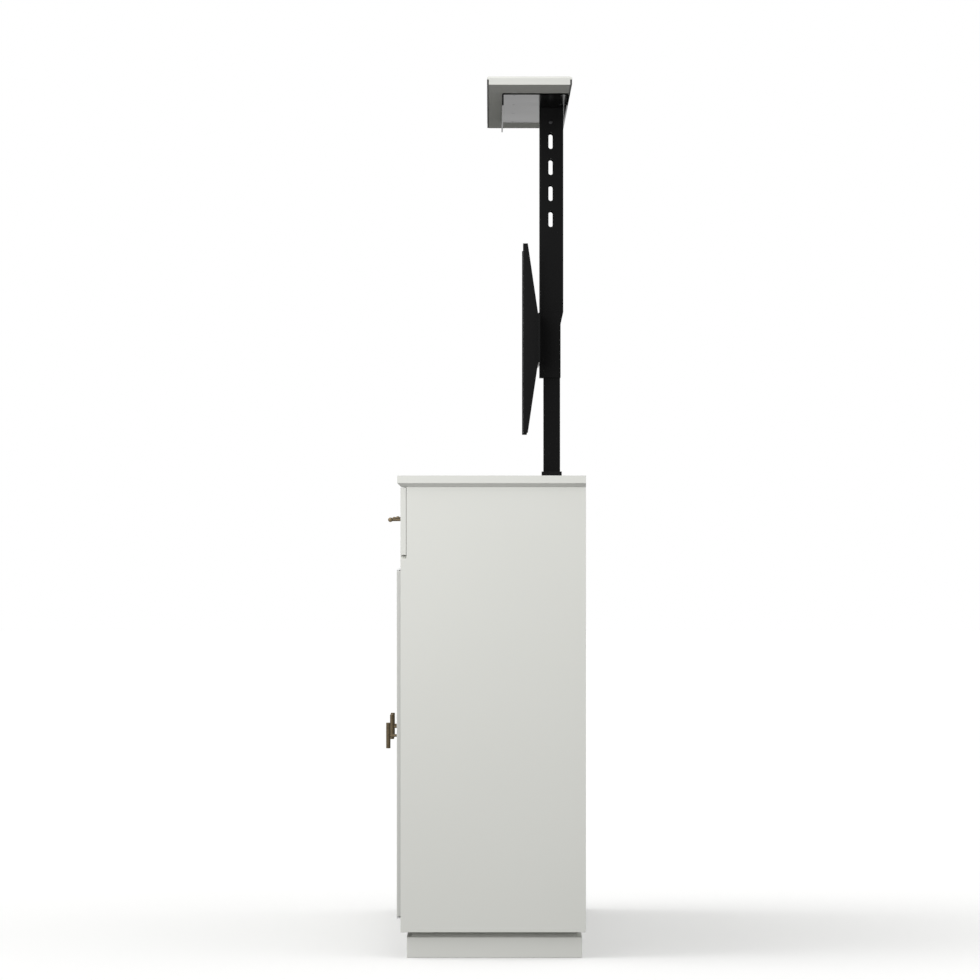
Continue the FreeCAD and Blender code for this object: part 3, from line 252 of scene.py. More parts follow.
def lay_over(tree, shader, mask, low, high, most, colour):
    """Blends a second colour over a finish where a mask rises from low to high."""
    blend = tree.nodes.new("ShaderNodeMapRange")
    blend.inputs["From Min"].default_value = low
    blend.inputs["From Max"].default_value = high
    blend.inputs["To Max"].default_value = most
    both = tree.nodes.new("ShaderNodeMix")
    both.data_type = "RGBA"
    both.inputs["B"].default_value = (*colour, 1.0)
    tree.links.new(mask, blend.inputs["Value"])
    tree.links.new(blend.outputs["Result"], both.inputs["Factor"])
    tree.links.new(tree.nodes["tone"].outputs["Result"], both.inputs["A"])
    tree.links.new(both.outputs["Result"], shader.inputs["Base Color"])


def faces_x(tree):
    """A factor near 1 on faces that look along x, either way."""
    facing = tree.nodes.new("ShaderNodeSeparateXYZ")
    sideways = tree.nodes.new("ShaderNodeMath")
    sideways.operation = "ABSOLUTE"
    tree.links.new(tree.nodes["Texture Coordinate"].outputs["Normal"], facing.inputs["Vector"])
    tree.links.new(facing.outputs["X"], sideways.inputs[0])
    return sideways.outputs[0]


door_paint, tree, shader = new_finish("door_paint", **LACQUER)
# Painted shade: faces that look along x, the doors' side edges, take the greyer edge tone.
lay_over(tree, shader, faces_x(tree), 0.90, 0.98, 1.0, EDGE_SHADE_TONE)
give_finish(door_paint, [nodes["door_" + bay] for bay in bays])


# ---- Lid over the lift
# One 18 mm board in the same white lacquer, its top edge rounded over. A grey felt strip is
# glued in a rebate along each long edge and brushes the sides of the opening as it closes.
LID_TOP_ROUND = 0.005
FELT_WIDTH = 0.004
FELT_HEIGHT = 0.011
FELT_SLACK = 0.0003
FELT_ROUND = 0.0006
NEAR = 0.0001
BEYOND = 0.01


def corners(name):
    """The lowest and highest corner of a CAD node's box."""
    return [Vector(corner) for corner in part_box(name)]


def start_block(name, low, high):
    """A box between two corners, ready to be shaped."""
    bpy.ops.object.select_all(action="DESELECT")
    middle = (Vector(low) + Vector(high)) / 2
    bpy.ops.mesh.primitive_cube_add(size=1.0, location=middle, scale=Vector(high) - Vector(low))
    bpy.ops.object.transform_apply(location=True, rotation=True, scale=True)
    bpy.context.object.name = name
    return bpy.context.object


def ease_edges(piece, wanted, width, segments):
    """Rounds the edges that a test on their two ends picks out."""
    only(piece)
    bpy.ops.object.mode_set(mode="EDIT")
    bpy.ops.mesh.select_mode(type="EDGE")
    bpy.ops.mesh.select_all(action="DESELECT")
    bpy.ops.object.mode_set(mode="OBJECT")
    points = piece.data.vertices
    for line in piece.data.edges:
        line.select = wanted(points[line.vertices[0]].co, points[line.vertices[1]].co)
    bpy.ops.object.mode_set(mode="EDIT")
    bpy.ops.mesh.bevel(offset=width, segments=segments, affect="EDGES")
    bpy.ops.object.mode_set(mode="OBJECT")


def only(piece):
    """Selects one piece and nothing else."""
    bpy.ops.object.select_all(action="DESELECT")
    piece.select_set(True)
    bpy.context.view_layer.objects.active = piece


def cut_out(piece, tool):
    """Takes the shape of a tool out of a piece and throws the tool away."""
    only(piece)
    hollow = piece.modifiers.new("cut_out", "BOOLEAN")
    hollow.solver = "EXACT"
    hollow.object = tool
    bpy.ops.object.modifier_apply(modifier="cut_out")
    bpy.data.objects.remove(tool)


def smooth_rounds(piece, degrees):
    """Shades the rounds smooth, keeps sharper edges crisp and flat faces flat."""
    only(piece)
    bpy.ops.object.shade_smooth_by_angle(angle=math.radians(degrees))
    level = piece.modifiers.new("level", "WEIGHTED_NORMAL")
    level.keep_sharp = True
    level.weight = 100
    bpy.ops.object.modifier_apply(modifier="level")


def fit(piece, body, finish, slot, *stands_for):
    """Puts a finished piece on its body, in place of the plain CAD node."""
    give_finish(finish, [piece])
    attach(piece, body)
    if stands_for:
        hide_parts(*stands_for)


lid_low, lid_high = corners("lid")
lid = start_block("lid_board", lid_low, lid_high)
ease_edges(lid, lambda a, b: min(a.z, b.z) > lid_high.z - NEAR, LID_TOP_ROUND, 6)
felt, tree, shader = new_finish("grey_felt", (0.05, 0.05, 0.048), (0.09, 0.09, 0.085),
                                90.0, (0.95, 1.0), 1800.0, 0.9, 0.0003, 0.1)
shader.inputs["Sheen Weight"].default_value = 0.3
for side, edge_y, name in ((-1, lid_low.y, "lid_felt_front"), (1, lid_high.y, "lid_felt_rear")):
    inner_y = edge_y - side * FELT_WIDTH
    clear_y = edge_y + side * BEYOND
    rebate = start_block("rebate",
                         (lid_low.x - BEYOND, min(inner_y, clear_y), lid_low.z - BEYOND),
                         (lid_high.x + BEYOND, max(inner_y, clear_y), lid_low.z + FELT_HEIGHT))
    cut_out(lid, rebate)
    outer_y = edge_y - side * FELT_SLACK
    strip = start_block(name,
                        (lid_low.x + FELT_SLACK, min(inner_y, outer_y), lid_low.z + 0.0004),
                        (lid_high.x - FELT_SLACK, max(inner_y, outer_y),
                         lid_low.z + FELT_HEIGHT - 0.0002))
    ease_edges(strip, lambda a, b: abs(a.x - b.x) > 1.0, FELT_ROUND, 2)
    smooth_rounds(strip, 40)
    fit(strip, "lift", felt, "painted_board")
smooth_rounds(lid, 40)
fit(lid, "lift", paint, "painted_board", "lid")

# ---- Black steel of the lift
# Mast, head, tray, crossbar and arms folded from sheet, the column's three tubes drawn, all
# powder coated black. The tray's coat is smoother and the tubes show their drawing lines.
steel, tree, shader = new_finish("black_powder_coat", (0.0026, 0.0026, 0.0027),
                                 (0.0038, 0.0038, 0.0040), 6.0, (0.26, 0.36), 1500.0, 0.05,
                                 0.0007, 0.06)
give_finish(steel, [nodes[name] for name in (
    "mast_channel", "mast_cheeks", "mast_head", "crossbar", "screen_arm_left",
    "screen_arm_right", "tube_spacer", "lift_base_plate", "column_tie")])
tray_gloss, tree, shader = new_finish("gloss_black_coat", (0.0026, 0.0026, 0.0027),
                                      (0.0034, 0.0034, 0.0036), 6.0, (0.13, 0.16), 900.0, 0.002,
                                      0.0007, 0.003)
give_finish(tray_gloss, [nodes["lid_tray"]])
tube_steel, tree, shader = new_finish("drawn_tube_coat", (0.0026, 0.0026, 0.0027),
                                      (0.0042, 0.0042, 0.0044), 14.0, (0.24, 0.38), 60.0, 0.04,
                                      0.001, 0.06)
stretch = tree.nodes.new("ShaderNodeMapping")
stretch.inputs["Scale"].default_value = (1.0, 1.0, 0.02)
tree.links.new(tree.nodes["Texture Coordinate"].outputs["Object"], stretch.inputs["Vector"])
tree.links.new(stretch.outputs["Vector"], tree.nodes["fine"].inputs["Vector"])
tree.links.new(stretch.outputs["Vector"], tree.nodes["Noise Texture"].inputs["Vector"])
give_finish(tube_steel, [nodes[name] for name in ("inner_tube", "middle_tube", "outer_tube")])


# ---- Lift bolts
# Black button head bolts with a hexagon socket hold the crossbar on the mast and the arms on
# the crossbar. Two more hold the tray on the mast head, and countersunk screws hold the lid.
UP = (0.0, 0.0, 1.0)
BACK = (0.0, 1.0, 0.0)
BUTTON_HEAD = [(0.0, 0.0), (0.0034, 0.0), (0.0046, 0.0004), (0.0057, 0.0013), (0.0063, 0.0026),
               (0.0065, 0.0038), (0.0064, 0.0048), (0.0061, 0.005), (0.003, 0.005)]
BUTTON_SOCKET = (0.004, 0.0026)
BOLT_X = 0.017
BOLT_Y = 0.11295
BOLT_Z = (1.29275, 1.34725)
ARM_X = 0.2
CROSSBAR_BEND = 0.0025
HEAD_BOLT = (-0.01733, 0.14995, 1.829)
LID_SCREW_X = (-0.4402, -0.14673, 0.14673, 0.4402)
LID_SCREW_Y = (0.06455, 0.16755)
LID_SCREW_Z = 1.837
MAST_SCREW = (0.0387, 0.14745, 1.8055)


def turn_piece(name, outline, place, axis, steps):
    """Turns an outline of (radius, distance) round an axis that starts at a place."""
    bpy.ops.object.select_all(action="DESELECT")
    bpy.ops.mesh.primitive_plane_add(size=0.001, location=(0.0, 0.0, 0.0))
    piece = bpy.context.object
    piece.name = name
    bpy.ops.object.mode_set(mode="EDIT")
    bpy.ops.mesh.select_all(action="SELECT")
    bpy.ops.mesh.merge(type="CENTER")
    bpy.ops.mesh.select_mode(type="VERT")
    bpy.ops.mesh.select_all(action="SELECT")
    bpy.ops.transform.translate(value=(outline[0][0], 0.0, outline[0][1]))
    for before, after in zip(outline, outline[1:]):
        step = (after[0] - before[0], 0.0, after[1] - before[1])
        bpy.ops.mesh.extrude_region_move(TRANSFORM_OT_translate={"value": step})
    bpy.ops.mesh.select_all(action="SELECT")
    bpy.ops.mesh.spin(steps=steps, angle=math.tau, center=(0.0, 0.0, 0.0), axis=(0.0, 0.0, 1.0))
    bpy.ops.mesh.select_all(action="SELECT")
    bpy.ops.mesh.remove_doubles(threshold=0.000002)
    bpy.ops.mesh.normals_make_consistent(inside=False)
    bpy.ops.object.mode_set(mode="OBJECT")
    piece.rotation_euler = Vector(axis).to_track_quat("Z", "Y").to_euler()
    piece.location = place
    bpy.ops.object.transform_apply(location=True, rotation=True, scale=True)
    return piece


def hex_socket(piece, place, axis, across, depth):
    """Sinks a hexagon socket into a screw's head."""
    bpy.ops.object.select_all(action="DESELECT")
    bpy.ops.mesh.primitive_cylinder_add(vertices=6, radius=across / math.sqrt(3), depth=depth * 2,
                                        location=place,
                                        rotation=Vector(axis).to_track_quat("Z", "Y").to_euler())
    bpy.ops.object.transform_apply(location=True, rotation=True, scale=True)
    cut_out(piece, bpy.context.object)
    smooth_rounds(piece, 35)


def copy_piece(piece, name, move):
    """A copy with its own mesh, moved along."""
    twin = piece.copy()
    twin.data = piece.data.copy()
    twin.data.transform(Matrix.Translation(Vector(move)))
    twin.name = name
    bpy.context.scene.collection.objects.link(twin)
    return twin


def fit_grid(piece, columns, rows, body, finish, slot):
    """Copies a piece, name_1, from the first place of a grid to all the others."""
    spots = [(x - columns[0], y - rows[0]) for y in rows for x in columns]
    for number, (x, y) in enumerate(spots[1:], 2):
        twin = copy_piece(piece, piece.name[:-1] + str(number), (x, y, 0.0))
        fit(twin, body, finish, slot)


oxide, tree, shader = new_finish("black_oxide", (0.018, 0.018, 0.019), (0.045, 0.045, 0.047),
                                 160.0, (0.34, 0.5), 2500.0, 0.05, 0.0002, 0.5)
shader.inputs["Metallic"].default_value = 0.8
place = (-BOLT_X, BOLT_Y, BOLT_Z[0])
bolt = turn_piece("plate_bolt_1", BUTTON_HEAD + [(0.003, 0.0112), (0.0022, 0.012), (0.0, 0.012)],
                  place, BACK, 40)
hex_socket(bolt, place, BACK, *BUTTON_SOCKET)
fit(bolt, "lift", oxide, "zinc_steel", "lift_fasteners")
rise = BOLT_Z[1] - BOLT_Z[0]
moves = [(0.0, 0.0, rise), (BOLT_X * 2, 0.0, 0.0), (BOLT_X * 2, 0.0, rise)]
for number, move in enumerate(moves, 2):
    fit(copy_piece(bolt, "plate_bolt_%d" % number, move), "lift", oxide, "zinc_steel")
spots = [(-ARM_X, 0.0), (-ARM_X, rise), (ARM_X, 0.0), (ARM_X, rise)]
for number, (x, z) in enumerate(spots, 1):
    twin = copy_piece(bolt, "arm_bolt_%d" % number, (x + BOLT_X, -CROSSBAR_BEND, z))
    fit(twin, "lift", oxide, "zinc_steel")
bolt = turn_piece("head_bolt_1", BUTTON_HEAD + [(0.003, 0.019), (0.002, 0.02), (0.0, 0.02)],
                  HEAD_BOLT, UP, 40)
hex_socket(bolt, HEAD_BOLT, UP, *BUTTON_SOCKET)
fit(bolt, "lift", oxide, "zinc_steel")
fit_grid(bolt, (HEAD_BOLT[0], -HEAD_BOLT[0]), (HEAD_BOLT[1],), "lift", oxide, "zinc_steel")
place = (LID_SCREW_X[0], LID_SCREW_Y[0], LID_SCREW_Z)
screw = turn_piece("lid_screw_1", [(0.0, 0.0001), (0.0038, 0.0001), (0.004, 0.0003),
                                   (0.0021, 0.0024), (0.0021, 0.0095), (0.0004, 0.012),
                                   (0.0, 0.012)], place, UP, 32)
hex_socket(screw, place, UP, 0.0025, 0.0016)
fit(screw, "lift", oxide, "zinc_steel")
fit_grid(screw, LID_SCREW_X, LID_SCREW_Y, "lift", oxide, "zinc_steel")
for side, name in ((-1, "mast_screw_left"), (1, "mast_screw_right")):
    place = (side * MAST_SCREW[0], *MAST_SCREW[1:])
    screw = turn_piece(name, [(0.0, 0.0), (0.0028, 0.0), (0.0041, 0.0006), (0.0045, 0.0016),
                              (0.0045, 0.0022), (0.0025, 0.0022), (0.0025, 0.0072), (0.0, 0.0077)],
                       place, (-side, 0.0, 0.0), 40)
    hex_socket(screw, place, (-side, 0.0, 0.0), 0.003, 0.0014)
    fit(screw, "lift", oxide, "zinc_steel")

# ---- Base bolts
# Four zinc plated hexagon bolts on flat washers hold the lift's base plate down on the
# bottom panel, tightened from above through the open top.
BASE_BOLT_X = (-0.098, 0.098)
BASE_BOLT_Y = (0.11995, 0.17995)
BASE_BOLT_TOP = 0.083
WASHER_TOP = 0.0793
BASE_HEAD_RADIUS = 0.0062
BASE_HEAD_EDGE = 0.0007
zinc, tree, shader = new_finish("zinc_plate", (0.40, 0.41, 0.43), (0.62, 0.62, 0.60),
                                55.0, (0.26, 0.44), 900.0, 0.05, 0.0003, 0.5)
shader.inputs["Metallic"].default_value = 1.0
bpy.ops.object.select_all(action="DESELECT")
bpy.ops.mesh.primitive_cylinder_add(vertices=6, radius=BASE_HEAD_RADIUS,
                                    depth=BASE_BOLT_TOP - WASHER_TOP,
                                    location=(BASE_BOLT_X[0], BASE_BOLT_Y[0],
                                              (BASE_BOLT_TOP + WASHER_TOP) / 2))
bpy.ops.object.transform_apply(location=True, rotation=True, scale=True)
head = bpy.context.object
ease_edges(head, lambda a, b: min(a.z, b.z) > BASE_BOLT_TOP - NEAR, BASE_HEAD_EDGE, 2)
bolt = turn_piece("base_bolt_1", [(0.0, 0.0), (0.0062, 0.0), (0.0065, 0.0003), (0.0065, 0.0013),
                                  (0.004, 0.0013), (0.004, 0.023), (0.0033, 0.0243), (0.0, 0.0243)],
                  (BASE_BOLT_X[0], BASE_BOLT_Y[0], WASHER_TOP), (0.0, 0.0, -1.0), 40)
head.select_set(True)
bpy.ops.object.join()
smooth_rounds(bolt, 35)
fit(bolt, "cabinet", zinc, "zinc_steel", "base_bolts")
fit_grid(bolt, BASE_BOLT_X, BASE_BOLT_Y, "cabinet", zinc, "zinc_steel")

# ---- Hinges, shelf pins and small zinc parts
# Pivot hinges sunk in the doors' corners, their plates on the rails and the spoon pins under
# the shelves: pressed and turned steel with bright zinc plate.
give_finish(zinc, [nodes[name] for name in ("shelf_pins", "pivot_plates")])
give_finish(zinc, [nodes["door_pivots_" + bay] for bay in bays])

# ---- Lift screws and pinion
# The column's two screws are rolled from bright steel and lightly greased, and turn in
# moulded nuts. The motor's pinion and the screw's wheel are cut from the same steel.
thread_steel, tree, shader = new_finish("greased_thread", (0.22, 0.22, 0.21), (0.42, 0.41, 0.38),
                                        40.0, (0.2, 0.36), 4.0, 0.8, 0.0003, 0.5)
shader.inputs["Metallic"].default_value = 1.0
turns = tree.nodes.new("ShaderNodeTexWave")
turns.wave_type = "BANDS"
turns.bands_direction = "Z"
turns.wave_profile = "TRI"
turns.inputs["Scale"].default_value = 80.0
tree.links.new(tree.nodes["Texture Coordinate"].outputs["Object"], turns.inputs["Vector"])
tree.links.new(turns.outputs["Fac"], tree.nodes["relief"].inputs["Height"])
give_finish(thread_steel, [nodes["drive_screw"], nodes["hollow_screw"]])
give_finish(zinc, [nodes["motor_pinion"]])
nylon, tree, shader = new_finish("white_nylon", (0.66, 0.66, 0.63), (0.74, 0.74, 0.71),
                                 30.0, (0.38, 0.5), 600.0, 0.06, 0.0005, 0.4)
shader.inputs["Subsurface Weight"].default_value = 0.05
shader.inputs["Subsurface Radius"].default_value = (0.002, 0.002, 0.002)
give_finish(nylon, [nodes["middle_nut"], nodes["inner_nut"]])

# ---- Lift motor
# A tube motor in a rolled and dipped steel can, held on the gearbox by its flange, with eight
# vents round the pressed bearing cap on top.
MOTOR_VENTS = 8
VENT_CIRCLE = 0.0175
motor_low, motor_high = corners("lift_motor")
motor_middle = (motor_low + motor_high) / 2
tall = motor_high.z - motor_low.z
motor = turn_piece("motor_can", [(0.0, 0.0), (0.0244, 0.0), (0.025, 0.0006), (0.025, 0.0034),
                                 (0.0244, 0.004), (0.0232, 0.004), (0.0232, 0.0065),
                                 (0.0246, 0.008), (0.0246, 0.03), (0.0242, 0.0304),
                                 (0.0242, 0.0316), (0.0246, 0.032), (0.0246, tall - 0.016),
                                 (0.0238, tall - 0.014), (0.0238, tall - 0.0125),
                                 (0.0246, tall - 0.011), (0.0246, tall - 0.005),
                                 (0.0228, tall - 0.003), (0.012, tall - 0.003),
                                 (0.0105, tall - 0.0005), (0.0095, tall), (0.0, tall)],
                   (motor_middle.x, motor_middle.y, motor_low.z), UP, 64)
for number in range(MOTOR_VENTS):
    turned = math.tau * number / MOTOR_VENTS
    vent_x = motor_middle.x + VENT_CIRCLE * math.cos(turned)
    vent_y = motor_middle.y + VENT_CIRCLE * math.sin(turned)
    vent = turn_piece("vent", [(0.0, 0.0), (0.0016, 0.0), (0.0016, 0.004), (0.0, 0.004)],
                      (vent_x, vent_y, motor_high.z - 0.0045), UP, 16)
    cut_out(motor, vent)
smooth_rounds(motor, 35)
dipped, tree, shader = new_finish("dipped_black", (0.010, 0.010, 0.011), (0.022, 0.022, 0.023),
                                  25.0, (0.3, 0.48), 500.0, 0.12, 0.0004, 0.3)
fit(motor, "cabinet", dipped, "black_steel", "lift_motor")

# ---- Black plastic parts
# Gearbox case and the column's sliding collar: glass filled nylon, moulded with a fine spark
# texture and small rounds, and pressed or screwed on.
plastic, tree, shader = new_finish("black_nylon", (0.0035, 0.0035, 0.0036),
                                   (0.007, 0.007, 0.0072), 18.0, (0.36, 0.5), 1300.0, 0.16,
                                   0.0008, 0.08)
give_finish(plastic, [nodes["middle_collar"], nodes["gearbox_housing"]])

# ---- Door catches
# Magnetic catches screwed up under the drawer board: a moulded case with a ferrite magnet held
# between two steel plates, which meet a small plate on the back of the door.
CATCH_X = (-0.29937, -0.19697, 0.29937)
CATCH_HALF = 0.020
CATCH_SET_BACK = 0.0006
CATCH_CORNER = 0.003
POLE_HALF = 0.0165
POLE_DEPTH = 0.010
POLE_Z = (0.0025, 0.0040)
UPPER_POLE_RISE = 0.0059
POLE_PLAY = 0.0004
MAGNET_Z = (0.0040, 0.0084)
MOUTH_Z = (0.0022, 0.0102)
CATCH_SCREW_OUT = 0.012
CATCH_SCREW_IN = 0.004
catch_low, catch_high = corners("door_catches")
ferrite, tree, shader = new_finish("ferrite", (0.020, 0.020, 0.020), (0.045, 0.044, 0.042),
                                   300.0, (0.5, 0.7), 2000.0, 0.4, 0.0003, 0.3)
x = CATCH_X[0]
face_y = catch_low.y
foot_z = catch_low.z
catch = start_block("catch_case_left", (x - CATCH_HALF, face_y + CATCH_SET_BACK, foot_z),
                    (x + CATCH_HALF, catch_high.y, catch_high.z))
ease_edges(catch, lambda a, b: abs(a.z - b.z) > 0.01, CATCH_CORNER, 4)
ease_edges(catch, lambda a, b: max(a.z, b.z) < foot_z + NEAR, 0.0008, 2)
mouth = start_block("mouth", (x - POLE_HALF - POLE_PLAY, face_y - 0.001, foot_z + MOUTH_Z[0]),
                    (x + POLE_HALF + POLE_PLAY, face_y + POLE_DEPTH, foot_z + MOUTH_Z[1]))
cut_out(catch, mouth)
magnet = start_block("catch_magnet_left",
                     (x - POLE_HALF + 0.001, face_y + 0.0008, foot_z + MAGNET_Z[0]),
                     (x + POLE_HALF - 0.001, face_y + POLE_DEPTH, foot_z + MAGNET_Z[1]))
ease_edges(magnet, lambda a, b: True, 0.0003, 2)
pole = start_block("catch_pole_lower_left", (x - POLE_HALF, face_y, foot_z + POLE_Z[0]),
                   (x + POLE_HALF, face_y + POLE_DEPTH, foot_z + POLE_Z[1]))
ease_edges(pole, lambda a, b: abs(a.z - b.z) > 0.001, 0.0012, 3)
upper = copy_piece(pole, "catch_pole_upper_left", (0.0, 0.0, UPPER_POLE_RISE))
screws = []
for side, name in ((-1, "catch_screw_a_left"), (1, "catch_screw_b_left")):
    spot = (x + side * CATCH_SCREW_OUT, catch_high.y - CATCH_SCREW_IN, foot_z)
    sink = turn_piece("sink", [(0.0, 0.0), (0.0024, 0.0), (0.0012, 0.0014), (0.0012, 0.003),
                               (0.0, 0.003)], (spot[0], spot[1], foot_z - NEAR), UP, 24)
    cut_out(catch, sink)
    screw = turn_piece(name, [(0.0, 0.0003), (0.0021, 0.0003), (0.0011, 0.0014),
                              (0.0011, 0.0125), (0.0, 0.0125)], spot, UP, 24)
    hex_socket(screw, spot, UP, 0.0013, 0.001)
    screws.append(screw)
smooth_rounds(catch, 35)
smooth_rounds(magnet, 35)
first_catch = [(catch, plastic, "black_plastic"), (magnet, ferrite, "black_steel"),
               (pole, zinc, "zinc_steel"), (upper, zinc, "zinc_steel"),
               (screws[0], zinc, "zinc_steel"), (screws[1], zinc, "zinc_steel")]
for piece, finish, slot in first_catch:
    for bay, move in zip(bays[1:], (CATCH_X[1] - x, CATCH_X[2] - x)):
        name = piece.name.replace("left", bay)
        fit(copy_piece(piece, name, (move, 0.0, 0.0)), "cabinet", finish, slot)
    fit(piece, "cabinet", finish, slot)
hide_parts("door_catches")

# ---- Control box
# The lift's control unit: a moulded case with a raised lid, a row of cooling slots and three
# sockets at one end for the motor, the hand switch and the mains lead.
CASE_CORNER = 0.005
LID_RISE = 0.002
CASE_GROOVE = 0.0012
SLOTS = 9
SLOT_START = 0.04
SLOT_STEP = 0.01
SLOT_HALF = 0.0012
SLOT_MARGIN = 0.012
PORT_WIDTHS = (0.012, 0.009, 0.007)
PORT_START = 0.010
PORT_STEP = 0.015
PORT_DEPTH = 0.006
PORT_Z = (0.010, 0.019)
box_low, box_high = corners("control_box")
case = start_block("control_case", box_low, (box_high.x, box_high.y, box_high.z - LID_RISE))
ease_edges(case, lambda a, b: abs(a.z - b.z) > 0.02, CASE_CORNER, 4)
only(case)
bpy.ops.object.mode_set(mode="EDIT")
bpy.ops.mesh.select_mode(type="FACE")
bpy.ops.mesh.select_all(action="DESELECT")
bpy.ops.object.mode_set(mode="OBJECT")
for face in case.data.polygons:
    face.select = face.normal.z > 0.9
bpy.ops.object.mode_set(mode="EDIT")
for rise in (-0.001, 0.003):
    bpy.ops.mesh.inset(thickness=CASE_GROOVE, depth=0.0)
    bpy.ops.mesh.extrude_region_move(TRANSFORM_OT_translate={"value": (0.0, 0.0, rise)})
bpy.ops.object.mode_set(mode="OBJECT")
ease_edges(case, lambda a, b: min(a.z, b.z) > box_high.z - NEAR, 0.0008, 2)
for number in range(SLOTS):
    slot_x = box_low.x + SLOT_START + number * SLOT_STEP
    slot = start_block("slot",
                       (slot_x - SLOT_HALF, box_low.y + SLOT_MARGIN, box_high.z - LID_RISE),
                       (slot_x + SLOT_HALF, box_high.y - SLOT_MARGIN, box_high.z + 0.001))
    cut_out(case, slot)
for number, wide in enumerate(PORT_WIDTHS):
    port_y = box_low.y + PORT_START + number * PORT_STEP
    port = start_block("port",
                       (box_high.x - PORT_DEPTH, port_y - wide / 2, box_low.z + PORT_Z[0]),
                       (box_high.x + 0.002, port_y + wide / 2, box_low.z + PORT_Z[1]))
    cut_out(case, port)
smooth_rounds(case, 35)
fit(case, "cabinet", plastic, "black_plastic", "control_box")

# ---- Power inlet
# A panel inlet for a mains lead in the back: moulded body and flange, three flat brass pins
# in its well, and two countersunk screws.
FLANGE_THICK = 0.002
FLANGE_CORNER = 0.005
INTO_FLANGE = 0.0005
BODY_HALF = (0.0135, 0.010)
WELL_HALF = (0.0115, 0.008)
WELL_FLOOR = 0.003
WELL_CORNER = 0.0042
INLET_SCREW_OUT = 0.019
PINS = ((-0.007, -0.001), (0.0, 0.002), (0.007, -0.001))
PIN_HALF = (0.001, 0.002)
PIN_SHORT = 0.004
FORWARD = (0.0, -1.0, 0.0)
inlet_low, inlet_high = corners("power_inlet")
inlet_x = (inlet_low.x + inlet_high.x) / 2
inlet_z = (inlet_low.z + inlet_high.z) / 2
flange_y = inlet_high.y - FLANGE_THICK
inlet = start_block("inlet_flange", (inlet_low.x, flange_y, inlet_low.z), inlet_high)
ease_edges(inlet, lambda a, b: abs(a.y - b.y) > 0.001, FLANGE_CORNER, 5)
ease_edges(inlet, lambda a, b: min(a.y, b.y) > inlet_high.y - NEAR, 0.0006, 2)
body = start_block("inlet_body",
                   (inlet_x - BODY_HALF[0], inlet_low.y, inlet_z - BODY_HALF[1]),
                   (inlet_x + BODY_HALF[0], flange_y + INTO_FLANGE, inlet_z + BODY_HALF[1]))
ease_edges(body, lambda a, b: abs(a.y - b.y) > 0.01, 0.0015, 3)
well = start_block("well",
                   (inlet_x - WELL_HALF[0], inlet_low.y + WELL_FLOOR, inlet_z - WELL_HALF[1]),
                   (inlet_x + WELL_HALF[0], inlet_high.y + 0.002, inlet_z + WELL_HALF[1]))
ease_edges(well, lambda a, b: abs(a.y - b.y) > 0.01 and a.z > inlet_z, WELL_CORNER, 1)
well_copy = copy_piece(well, "well_copy", (0.0, 0.0, 0.0))
cut_out(inlet, well)
cut_out(body, well_copy)
for side, name in ((-1, "inlet_screw_left"), (1, "inlet_screw_right")):
    spot = Vector((inlet_x + side * INLET_SCREW_OUT, inlet_high.y, inlet_z))
    sink = turn_piece("sink", [(0.0, 0.0), (0.0031, 0.0), (0.0016, 0.0018), (0.0016, 0.004),
                               (0.0, 0.004)], spot + Vector((0.0, NEAR, 0.0)), FORWARD, 24)
    cut_out(inlet, sink)
    screw = turn_piece(name, [(0.0, 0.0002), (0.0028, 0.0002), (0.0015, 0.0017),
                              (0.0015, 0.012), (0.0, 0.014)], spot, FORWARD, 24)
    hex_socket(screw, spot, BACK, 0.0016, 0.0012)
    fit(screw, "cabinet", zinc, "zinc_steel")
only(inlet)
body.select_set(True)
bpy.ops.object.join()
smooth_rounds(inlet, 35)
fit(inlet, "cabinet", plastic, "black_plastic", "power_inlet")
pin_brass, tree, shader = new_finish("bright_brass", (0.62, 0.45, 0.20), (0.72, 0.55, 0.27),
                                     120.0, (0.2, 0.32), 800.0, 0.04, 0.0003, 0.5)
shader.inputs["Metallic"].default_value = 1.0
for number, (out, up) in enumerate(PINS, 1):
    pin_x = inlet_x + out
    pin_z = inlet_z + up
    pin = start_block("inlet_pin_%d" % number,
                      (pin_x - PIN_HALF[0], inlet_low.y + 0.002, pin_z - PIN_HALF[1]),
                      (pin_x + PIN_HALF[0], inlet_high.y - PIN_SHORT, pin_z + PIN_HALF[1]))
    ease_edges(pin, lambda a, b: min(a.y, b.y) > inlet_high.y - PIN_SHORT - NEAR, 0.0006, 2)
    fit(pin, "cabinet", pin_brass, "zinc_steel")

# ---- Cable grommet
# A moulded ring pushed into the cable hole from behind, with a thin rolled lip that covers
# the hole's sprayed edge.
GROMMET_BORE = 0.0275
grommet_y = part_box("back_panel")[0][1] + 0.0002
grommet = turn_piece("cable_grommet", [(GROMMET_BORE, 0.0), (0.0292, 0.0), (0.0298, 0.0008),
                                       (0.0298, 0.0118), (0.0336, 0.0118), (0.0342, 0.0124),
                                       (0.0338, 0.0135), (0.0326, 0.0142), (0.0288, 0.0142),
                                       (0.0278, 0.0136), (GROMMET_BORE, 0.0126),
                                       (GROMMET_BORE, 0.0)],
                     (-inlet_x, grommet_y, inlet_z), BACK, 72)
smooth_rounds(grommet, 35)
fit(grommet, "cabinet", plastic, "black_plastic")


# ---- Brass knobs
# T-bar knobs turned from brass bar and darkened with age: a bar with broken ends and two fine
# grooves, a slim post with a small foot, and a stud that screws into the door.
KNOB_REACH = 0.030
KNOB_BAR_RADIUS = 0.0048
KNOB_BAR_LENGTH = 0.056
KNOB_GROOVE = [(0.0060, 0.0), (0.0062, 0.0003), (0.0067, 0.0003), (0.0069, 0.0)]
RIGHT = (1.0, 0.0, 0.0)
DOOR_FACE_Y = -0.1842
DRAWER_FACE_Y = -0.176


